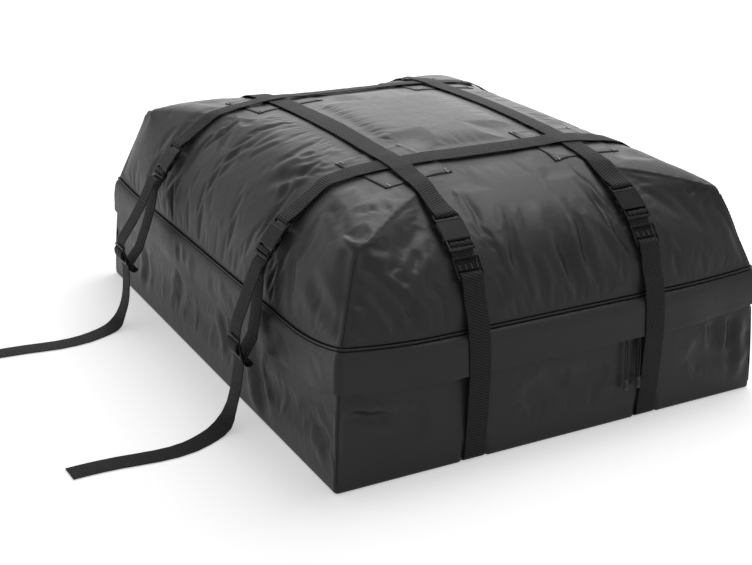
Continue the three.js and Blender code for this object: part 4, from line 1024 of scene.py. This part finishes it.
# %% The tub's foot, and the room for the straps
EDGE_ROLL = 4.5
ROLL_ANGLES = [math.radians(angle) for angle in (22, 45, 68, 90)]
STRAP_ROOM = 2.9
TUB_TOP, TUB_BASE = 198, 2.7
foot_rings = [(EDGE_ROLL * (1 - math.cos(a)), EDGE_ROLL * (1 - math.sin(a))) for a in ROLL_ANGLES]
foot = []
for inset, height in foot_rings + [(18, 0.0), (32, TUB_BASE)]:
    x, y, _ = ring_points(fine_turns, BAG_HALF_X - inset, BAG_HALF_Y - inset, RIDGE_RADIUS)
    foot.append(np.stack([x, y, np.full_like(x, height)], axis=-1))
tub_rings = np.concatenate([wall, np.array(foot)])
to_strap = to_nearest(tub_rings[..., 0], LONG_STRAP_X)
give = STRAP_ROOM * (1 - smoothstep(to_strap, 20, 28)) * (np.abs(tub_rings[..., 1]) > 440)
low = 1 - smoothstep(tub_rings[..., 2], 12, 44)
tub_rings[..., 1] -= np.sign(tub_rings[..., 1]) * give * low
lifted = give * (1 - smoothstep(tub_rings[..., 2], 3, 8))
tub_rings[..., 2] = np.maximum(tub_rings[..., 2], lifted)
tub_flat = tub_rings.reshape(-1, 3)
ring_count, columns = tub_rings.shape[:2]
top_point, foot_point = len(tub_flat), len(tub_flat) + 1
last = (ring_count - 1) * columns
tub_faces = grid_faces(ring_count, columns, True)
tub_faces += [(top_point, c, (c + 1) % columns) for c in range(columns)]
tub_faces += [(foot_point, last + (c + 1) % columns, last + c) for c in range(columns)]
tub_points = np.vstack([tub_flat, [[0, 0, TUB_TOP], [0, 0, TUB_BASE]]])
tub = closed_piece("tub_fabric", tub_points, tub_faces, FABRIC, "fabric", "tub")

# %% [markdown]
# ## The rain flap
#
# The flap is a skirt sewn into the seam above the zip. On the front it stands off the tub to clear
# the zip's sliders and their pulls, and the straps press on it there. Round the corners and along
# the sides it hangs close to the tub, with a loose, slightly wavy hem.

# %% The flap's section: how far down from the seam, and how far out where loose and where tight
FLAP_SECTION = np.array([
    (2.9, 2.2, 2.2), (4.4, 5.6, 4.0), (7.9, 9.5, 6.3), (13, 11.4, 7.4), (20, 12.4, 7.8),
    (34, 12.45, 7.8), (48, 12.45, 6.6), (60, 12.45, 5.2), (66, 12.4, 4.6),
])
FLAP_DROPS = np.array([
    2.9, 3.6, 4.4, 6, 7.9, 10, 13, 16, 20, 24, 29, 34, 39, 44, 48, 52, 55, 57, 58, 60, 63, 65, 66,
])[:, None]
FLAP_THICK, HEM_THICK = 1.3, 0.35
FLAP_COLUMNS = 1120
LOOSE_MIDDLE, LOOSE_FULL, LOOSE_END = 10, 225, 330
WAVE_OUT, WAVE_DOWN = 0.7, 1.6

# %% The flap's two faces
flap_turns = np.arange(FLAP_COLUMNS) * 4 / FLAP_COLUMNS
flap_seam = seam_height(flap_turns)[None, :]
loose_out, tight_out = (
    np.interp(FLAP_DROPS, FLAP_SECTION[:, 0], FLAP_SECTION[:, way]) for way in (1, 2))
base_x, base_y, _ = ring_points(flap_turns, BAG_HALF_X, BAG_HALF_Y, RIDGE_RADIUS)
loose = (np.abs(base_y) > END_WALL_Y) * (
    1 - smoothstep(np.abs(base_x - LOOSE_MIDDLE), LOOSE_FULL, LOOSE_END))
wave = (
    np.sin(base_x * 0.021 + base_y * 0.033) + 0.6 * np.sin(base_y * 0.071 + 1.3)
    + 0.5 * np.sin(base_x * 0.057))
wave *= (1 - loose) * (1 - smoothstep(loose, 0, 0.5) * 0.5)
drop_share = FLAP_DROPS / FLAP_FOOT
out = lerp(tight_out, loose_out, loose) + WAVE_OUT * wave * drop_share**2
drops = FLAP_DROPS + WAVE_DOWN * wave * drop_share**3


def off_wall(turns, out, drops, seam):
    """Points off the tub's wall: out from it, and down from the seam."""
    height = seam - drops
    x, y, direction = wall_points(turns, height)
    flat = np.stack([x, y, height], axis=-1)
    return flat + direction * out[..., None]


flap_outer = off_wall(
    flap_turns, out + HEM_THICK * smoothstep(FLAP_DROPS, 54, 57), drops, flap_seam)
flap_inner = off_wall(flap_turns, out - FLAP_THICK, drops + 0.3, flap_seam)
FLAP_FOLDS = [
    ([(-405, 245, 134), (-404, 197, 137), (-404, 145, 139)], 9, -1.6),
    ([(-398, -32, 187), (-403, -29, 158), (-404, -68, 137)], 10, -1.6),
    ([(-395, -63, 192), (-402, -73, 166), (-403, -100, 155)], 9, 1.8),
    ([(-401, -109, 176), (-404, -129, 147)], 8, -1.5),
    ([(-397, -298, 189), (-402, -321, 164), (-404, -350, 150)], 10, -1.5),
    ([(-401, -407, 182), (-403, -446, 170)], 9, -1.5),
    ([(-394, 60, 186), (-403, 84, 150)], 12, 1.6),
    ([(-390, 130, 190), (-402, 122, 150)], 10, -1.5),
    ([(404, -120, 186), (405, -90, 150)], 10, -1.6),
    ([(404, 100, 186), (405, 130, 150)], 12, 1.6),
]
flap_shift = fold_depths(flap_outer, FLAP_FOLDS)
flap_way = wall_points(flap_turns, flap_seam - drops)[2]
flap_shift *= (1 - loose) * smoothstep(drop_share, 0.1, 0.4)
flap_outer += flap_way * flap_shift[..., None]
flap_inner += flap_way * flap_shift[..., None]
flap_rings = np.concatenate([flap_outer, flap_inner[::-1]])
last = (len(flap_rings) - 1) * FLAP_COLUMNS
hem_faces = [
    (last + c, c, (c + 1) % FLAP_COLUMNS, last + (c + 1) % FLAP_COLUMNS)
    for c in range(FLAP_COLUMNS)]
flap_faces = grid_faces(len(flap_rings), FLAP_COLUMNS, True) + hem_faces
closed_piece(
    "rain_flap_fabric", flap_rings.reshape(-1, 3), flap_faces, FABRIC, "fabric", "rain_flap")

# %% [markdown]
# ## Piping, sewn ridges and their painted shadow
#
# Everything that follows a line gets the same small node tree: it turns a line into a curve and
# draws a round section along it. The piping in the seam is such a cord, and so are the thin
# near-black cords along the corners of the lid and the tub, which stand for the sewn ridges there
# and paint the shadow in their grooves. Setting an input of the tree by its identifier keeps the
# tree reusable for each of them.


# %% A node tree that draws a cord along a line
def tree_named(name, *floats):
    """A Geometry Nodes tree with its inputs, its first node, and the curve along the lines."""
    tree = bpy.data.node_groups.new(name, "GeometryNodeTree")
    sockets = [("Geometry", "Geometry")] + [(label, "Float") for label in floats]
    for label, kind in sockets + [("Finish", "Material")]:
        tree.interface.new_socket(label, in_out="INPUT", socket_type="NodeSocket" + kind)
    tree.interface.new_socket("Geometry", in_out="OUTPUT", socket_type="NodeSocketGeometry")
    given = tree_node(tree, "NodeGroupInput").outputs
    curve = tree_node(tree, "GeometryNodeMeshToCurve", None, {"Mesh": given["Geometry"]})
    return tree, given, curve.outputs["Curve"]


def ended(tree, geometry, finish):
    """Ends a tree: copies are made real, and all of it gets its finish."""
    real = tree_node(tree, "GeometryNodeRealizeInstances", None, {"Geometry": geometry})
    finished = tree_node(tree, "GeometryNodeSetMaterial", None, {
        "Geometry": real.outputs["Geometry"], "Material": finish})
    tree_node(tree, "NodeGroupOutput", None, {"Geometry": finished.outputs["Geometry"]})


CORD_SIDES = 10
cord_tree, given, curve = tree_named("cord_along_line", "Radius")
round_section = tree_node(cord_tree, "GeometryNodeCurvePrimitiveCircle", None, {
    "Resolution": CORD_SIDES, "Radius": given["Radius"]})
drawn = tree_node(cord_tree, "GeometryNodeCurveToMesh", None, {
    "Curve": curve, "Profile Curve": round_section.outputs["Curve"], "Fill Caps": True})
ended(cord_tree, drawn.outputs["Mesh"], given["Finish"])


# %% A plain mesh out of a tree
def without_modifiers(piece):
    """The mesh of a piece with its modifiers at work."""
    bpy.context.view_layer.update()
    return bpy.data.meshes.new_from_object(
        piece.evaluated_get(bpy.context.evaluated_depsgraph_get()))


def grown(name, tree, lines, material, closed=False, **sizes):
    """Runs a tree on lines of points in millimetres and keeps the result as a plain piece."""
    seed = in_scene(name + "_lines", lines_mesh(name + "_lines", lines, closed))
    growth = seed.modifiers.new("growth", "NODES")
    growth.node_group = tree
    values = {"Finish": material, **{label: size * MM for label, size in sizes.items()}}
    for item in tree.interface.items_tree:
        if item.in_out == "INPUT" and item.name in values:
            growth[item.identifier] = values[item.name]
    mesh = without_modifiers(seed)
    bpy.data.objects.remove(seed)
    with reworked(mesh) as bm:
        bmesh.ops.remove_doubles(bm, verts=bm.verts, dist=MERGE)
        bmesh.ops.recalc_face_normals(bm, faces=bm.faces)
    return show(mesh, name, material)


def lines_mesh(name, lines, closed):
    """A mesh of edges only, one run of edges for each line of points in millimetres."""
    points, edges = [], []
    for line in lines:
        first = len(points)
        points += [tuple(np.asarray(p) * MM) for p in line]
        edges += [(i, i + 1) for i in range(first, len(points) - 1)]
        if closed:
            edges.append((len(points) - 1, first))
    mesh = bpy.data.meshes.new(name)
    mesh.from_pydata(points, edges, [])
    return mesh


# %% Piping in the seam
WELT_POINTS, WELT_OUT, WELT_RADIUS = 900, 2.3, 1.8
welt_turns = np.arange(WELT_POINTS) * 4 / WELT_POINTS
level = np.zeros((1, WELT_POINTS))
welt_line = off_wall(welt_turns, level + WELT_OUT, level, seam_height(welt_turns)[None, :])[0]
welt = grown("seam_piping", cord_tree, [welt_line], PIPING, closed=True, Radius=WELT_RADIUS)
ride_on(welt, BAG, "trim", "seam_welt")

# %% Sewn ridges at the corners, as near-black cords of painted shadow
RIDGE_START, RIDGE_END = 0.62, 342
TUB_RIDGE_SUNK, TUB_RIDGE_STOPS, RIDGE_FINE = 0.35, (207, 9), 1.3
fine_cells = (lid_rows - 1) // 2
ridge_lines = []
for sign_x, sign_y in ((-1, -1), (1, -1), (1, 1), (-1, 1)):
    steps = range(fine_cells - 1, int(fine_cells * RIDGE_START), -1)
    line = np.array([lid_grid[fine_cells + sign_x * s, fine_cells + sign_y * s] for s in steps])
    ridge_lines.append(line[line[:, 2] < RIDGE_END])
for corner in range(4):
    drop = np.linspace(FLAP_FOOT + 5, TUB_RIDGE_STOPS[0], 40)[None, :]
    turn = np.full_like(drop, corner)
    seam = seam_height(turn)
    drop = np.minimum(drop, seam - TUB_RIDGE_STOPS[1])
    ridge_lines.append(off_wall(turn, np.full_like(drop, -TUB_RIDGE_SUNK), drop, seam)[0])
# These cords are nearly black: they paint the shadow that lies in the groove of each corner seam.
ridges = grown("corner_seam_shadow_cords", cord_tree, ridge_lines, SEAM_SHADOW_FINISH, Radius=RIDGE_FINE)
ride_on(ridges, BAG, "trim")

# %% [markdown]
# ## Patches and their stitches
#
# Under each crossing of two straps a square of fabric is sewn on. It takes its shape from the
# finished lid below it. A row of stitches runs round inside its edge, and short bars of dense
# stitching hold its corners. Stitches are the same small shape repeated along a line, which is what
# Geometry Nodes do best.

# %% Patches on the lid
PATCH_HALF = (68.0, 66.0)
PATCH_TURN = ((10, 3), (5, 3))
PATCH_CELLS = 30
PATCH_TOP, PATCH_UNDER = 1.25, 0.1
STITCH_INSET, SECOND_ROW = 6, 5
STITCH_RISE, TACK_RISE = 1.4, 1.7
lid_tree = bvh_of(lid.data)


def over_lid(x, y, rise):
    """A point over the finished lid, in millimetres, at a height above its surface."""
    place, normal, _, _ = lid_tree.ray_cast(Vector((x * MM, y * MM, 0.6)), Vector((0, 0, -1)))
    return np.array(place) / MM + np.array(normal) * rise


def patch_spot(i, j, u, v, rise):
    turn = math.radians(PATCH_TURN[i][j])
    x = LONG_STRAP_X[j] + u * math.cos(turn) - v * math.sin(turn)
    y = CROSS_STRAP_Y[i] + u * math.sin(turn) + v * math.cos(turn)
    return over_lid(x, y, rise)


us, vs = (np.linspace(-half, half, PATCH_CELLS + 1) for half in PATCH_HALF)
patch_lines = []
tack_lines = []
for i, end_name in enumerate(("front", "back")):
    for j, side_name in enumerate(("left", "right")):
        top = [patch_spot(i, j, u, v, PATCH_TOP) for u in us for v in vs]
        under = [patch_spot(i, j, u * 0.995, v * 0.995, PATCH_UNDER) for u in us for v in vs]
        count = len(top)
        cells = grid_faces(PATCH_CELLS + 1, PATCH_CELLS + 1)
        faces = [f[::-1] for f in cells] + [[n + count for n in f] for f in cells]
        rim = grid_rim(PATCH_CELLS + 1)
        faces += [(a, b, b + count, a + count) for a, b in zip(rim, rim[1:] + rim[:1])]
        name = f"patch_{end_name}_{side_name}"
        patch_mesh = mesh_of(name + "_cloth", np.array(top + under) * MM, faces)
        with reworked(patch_mesh) as bm:
            bmesh.ops.recalc_face_normals(bm, faces=bm.faces)
        face_outwards(patch_mesh)
        ride_on(show(patch_mesh, name + "_cloth", PATCH), BAG, "patch", name)
        u, v = (half - STITCH_INSET for half in PATCH_HALF)
        for inset in (0, SECOND_ROW):
            a, b = u - inset, v - inset
            box = [(-a, -b), (a, -b), (a, b), (-a, b)]
            for (a, b), (c, d) in zip(box, box[1:] + box[:1]):
                patch_lines.append([
                    patch_spot(i, j, lerp(a, c, share), lerp(b, d, share), STITCH_RISE)
                    for share in np.linspace(0.02, 0.98, 24)])
        for a, b in ((-u, -v), (u, -v), (u, v), (-u, v)):
            tack_lines.append([
                patch_spot(i, j, a - math.copysign(3, a), b + along, TACK_RISE)
                for along in (-5, -2, 2, 5)])

# %% A node tree that sews stitches along lines
stitch_tree, given, curve = tree_named("stitches_along_line", "Pitch", "Length", "Thick")
spots = tree_node(stitch_tree, "GeometryNodeCurveToPoints", {"mode": "LENGTH"}, {
    "Curve": curve, "Length": given["Pitch"]}).outputs
bead = tree_node(stitch_tree, "GeometryNodeMeshUVSphere", None, {
    "Segments": 6, "Rings": 4, "Radius": 0.5})
long_thick = tree_node(stitch_tree, "ShaderNodeCombineXYZ", None, {
    "X": given["Thick"], "Y": given["Thick"], "Z": given["Length"]})
thread = tree_node(stitch_tree, "GeometryNodeInstanceOnPoints", None, {
    "Points": spots["Points"], "Instance": bead.outputs["Mesh"], "Rotation": spots["Rotation"],
    "Scale": long_thick.outputs["Vector"]})
ended(stitch_tree, thread.outputs["Instances"], given["Finish"])

# %% Stitches and bar tacks
for name, lines, material, sizes in (
    ("patch_stitches", patch_lines, THREAD, {"Pitch": 3.6, "Length": 2.7, "Thick": 0.8}),
    ("patch_tacks", tack_lines, TACK_THREAD, {"Pitch": 0.7, "Length": 1.6, "Thick": 2.6}),
):
    sewn = ride_on(grown(name, stitch_tree, lines, material, **sizes), BAG, "patch")
    print(name, len(sewn.data.polygons), "faces")

# %% [markdown]
# ## Buckles and slides with eased edges
#
# Moulded parts have no sharp edges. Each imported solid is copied, its loose triangles are merged,
# flat faces are joined, and a small bevel runs along its edges, so that they catch the light.


# %% Eased copies of the moulded solids
BEVEL = {
    "width": 0.45 * MM, "segments": 2, "limit_method": "ANGLE", "angle_limit": math.radians(32),
    "use_clamp_overlap": True, "harden_normals": False,
}


def eased_copy(node):
    """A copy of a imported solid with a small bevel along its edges, in the solid's place."""
    mesh = frame_object(node).data.copy()
    mesh.name = node + "_moulded"
    with reworked(mesh) as bm:
        bmesh.ops.remove_doubles(bm, verts=bm.verts, dist=2 * MERGE)
        bmesh.ops.dissolve_limit(
            bm, angle_limit=math.radians(1), verts=bm.verts, edges=bm.edges)
    piece = show(mesh, node + "_moulded", PLASTIC, smooth=False)
    ease = piece.modifiers.new("ease", "BEVEL")
    for setting, value in BEVEL.items():
        setattr(ease, setting, value)
    piece.data = without_modifiers(piece)
    piece.modifiers.clear()
    return ride_on(piece, BAG, "plastic", node)


moulded_pieces = [eased_copy(n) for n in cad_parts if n.startswith(("buckle", "slide_"))]
moulded_faces = sum(len(p.data.polygons) for p in moulded_pieces)
print(len(moulded_pieces), "moulded pieces,", moulded_faces, "faces")

# %% [markdown]
# ## Zip pulls
#
# Each slider has a pull that hangs out under the flap: a doubled cord that runs through the
# slider's eye, with a flat moulded end to grip. Its two strands bow apart a little. They are drawn
# by the same tree as the piping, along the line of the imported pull.

# %% Cord pulls with a flat end
PULL_TOP, PULL_SPLIT, PULL_END = 186.4, 146.0, 78.0
PULL_IN, PULL_SLOPE = 1.3, 0.0911
STRAND_RADIUS, STRAND_APART, STRAND_BOW = 1.15, 1.25, 1.2
GRIP_WIDTH, GRIP_THICK = 8 * MM, 2.5 * MM
heights_down = np.linspace(PULL_TOP, PULL_END - 3, 40)
split = np.clip((PULL_SPLIT - heights_down) / (PULL_SPLIT - PULL_END), 0, 1)
bow = STRAND_APART + STRAND_BOW * np.sin(split * math.pi)


def on_pull(corner, x, z):
    """A point on the middle of a pull, in millimetres; corner is the lowest one of its box."""
    return np.array([x, corner[1] + PULL_IN + PULL_SLOPE * (z - corner[2]), z])


for side_name in ("left", "right"):
    node, slider = "zip_pull_" + side_name, side_name + "_slider"
    low, high = (np.array(corner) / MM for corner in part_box(node))
    pull_x = (low[0] + high[0]) / 2
    strands = [
        [on_pull(low, pull_x + way * b, z) for b, z in zip(bow, heights_down)] for way in (-1, 1)]
    cords = grown(node + "_cord", cord_tree, strands, PULL_CORD, Radius=STRAND_RADIUS)
    ride_on(cords, slider, "pull", node)
    grip_line = [
        Vector(on_pull(low, pull_x, z)) * MM for z in np.linspace(PULL_END, low[2] + 0.4, 6)]
    across = [Vector((1, 0, 0))] * len(grip_line)
    grip = soft_strip(node + "_grip", grip_line, across, GRIP_WIDTH, GRIP_THICK)
    ride_on(show(grip, node + "_grip", PLASTIC), slider, "pull")

# %% [markdown]
# ## Floor, light and sky
#
# The bag stands on a plain white floor. One broad soft lamp behind it and one above it give the top
# its pale sheen and leave the sides dark. The floor and the sky look white to the eye and in
# reflections, and light the bag less than that.

# %% Floor
FLOOR_REACH = 12.0
FLOOR_DROP = 0.0005


def seen_or_mirrored(tree):
    """1 for rays that come from the eye, a mirror or a glass, and 0 for those that only light."""
    path = tree_node(tree, "ShaderNodeLightPath").outputs
    most = path["Is Camera Ray"]
    for kind in ("Is Glossy Ray", "Is Transmission Ray"):
        step = tree_node(tree, "ShaderNodeMath", {"operation": "MAXIMUM"}, {0: most, 1: path[kind]})
        most = step.outputs[0]
    return most


white_floor = Finish("floor")
white_floor.end(grey(0.82), 0.9, Specular_IOR_Level=0.1)
(floor_x, floor_y, _), _ = white_floor.place()
away = ((floor_x * floor_x + floor_y * floor_y) ** 0.5).above(3.0, 3.0)
looked_at = Amount(white_floor, seen_or_mirrored(white_floor.tree))
glow = white_floor.node("ShaderNodeEmission", None, {
    "Color": grey(1.0), "Strength": looked_at * (away * 0.3 + 0.42)})
both = white_floor.node("ShaderNodeAddShader", None, {
    0: white_floor.shader.outputs[0], 1: glow.outputs[0]})
plug(white_floor.tree, both.outputs[0], white_floor.output.inputs["Surface"])
floor_corners = [
    (x * FLOOR_REACH, y * FLOOR_REACH, 0) for x, y in ((-1, -1), (1, -1), (1, 1), (-1, 1))]
floor_mesh = mesh_of("floor", floor_corners, [(0, 1, 2, 3)])
floor = show(floor_mesh, "floor", white_floor.material, smooth=False)
floor.location.z = -FLOOR_DROP


# %% Lamps and sky
def lamp(name, place, target, size, power):
    """A square soft lamp at a place, turned to a target."""
    data = bpy.data.lights.new(name, "AREA")
    data.size = size
    data.energy = power
    light = in_scene(name, data)
    light.location = place
    light.rotation_mode = "QUATERNION"
    light.rotation_quaternion = (Vector(target) - Vector(place)).to_track_quat("-Z", "Y")


lamp("back", (1.7, 3.0, 1.7), (0.0, 0.1, 0.35), 2.8, 36)
lamp("overhead", (0.9, 0.3, 2.7), (0.0, -0.2, 0.3), 1.7, 40)

world = bpy.data.worlds.new("sky")
bpy.context.scene.world = world
world.use_nodes = True
sky = world.node_tree
sky.nodes.clear()
soft, white = (
    tree_node(sky, "ShaderNodeBackground", None, {"Color": grey(1.0), "Strength": strength})
    for strength in (0.45, 1.0))
which = tree_node(sky, "ShaderNodeMixShader", None, {
    0: seen_or_mirrored(sky), 1: soft.outputs[0], 2: white.outputs[0]})
tree_node(sky, "ShaderNodeOutputWorld", None, {"Surface": which.outputs[0]})
bpy.context.scene.view_settings.view_transform = "Standard"

# %% [markdown]
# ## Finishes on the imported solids
#
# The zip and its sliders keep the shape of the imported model, because those shapes are already
# true. They take a finish, and so do the solids that the pieces above stand for.

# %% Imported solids
SOLID_FINISH = {
    "buckle": PLASTIC, "slide": PLASTIC, "zip_slider": PLASTIC, "zip_pull": PULL_CORD,
    "zip_upper": ZIP_TAPE, "zip_lower": ZIP_TAPE, "lid": FABRIC, "tub": FABRIC,
    "rain_flap": FABRIC, "seam_welt": PIPING, "patch": PATCH,
}
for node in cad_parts:
    for start, material in SOLID_FINISH.items():
        if node.startswith(start):
            for holder in frame_object(node).material_slots:
                holder.material = material

# %% Update the scene
bpy.context.view_layer.update()
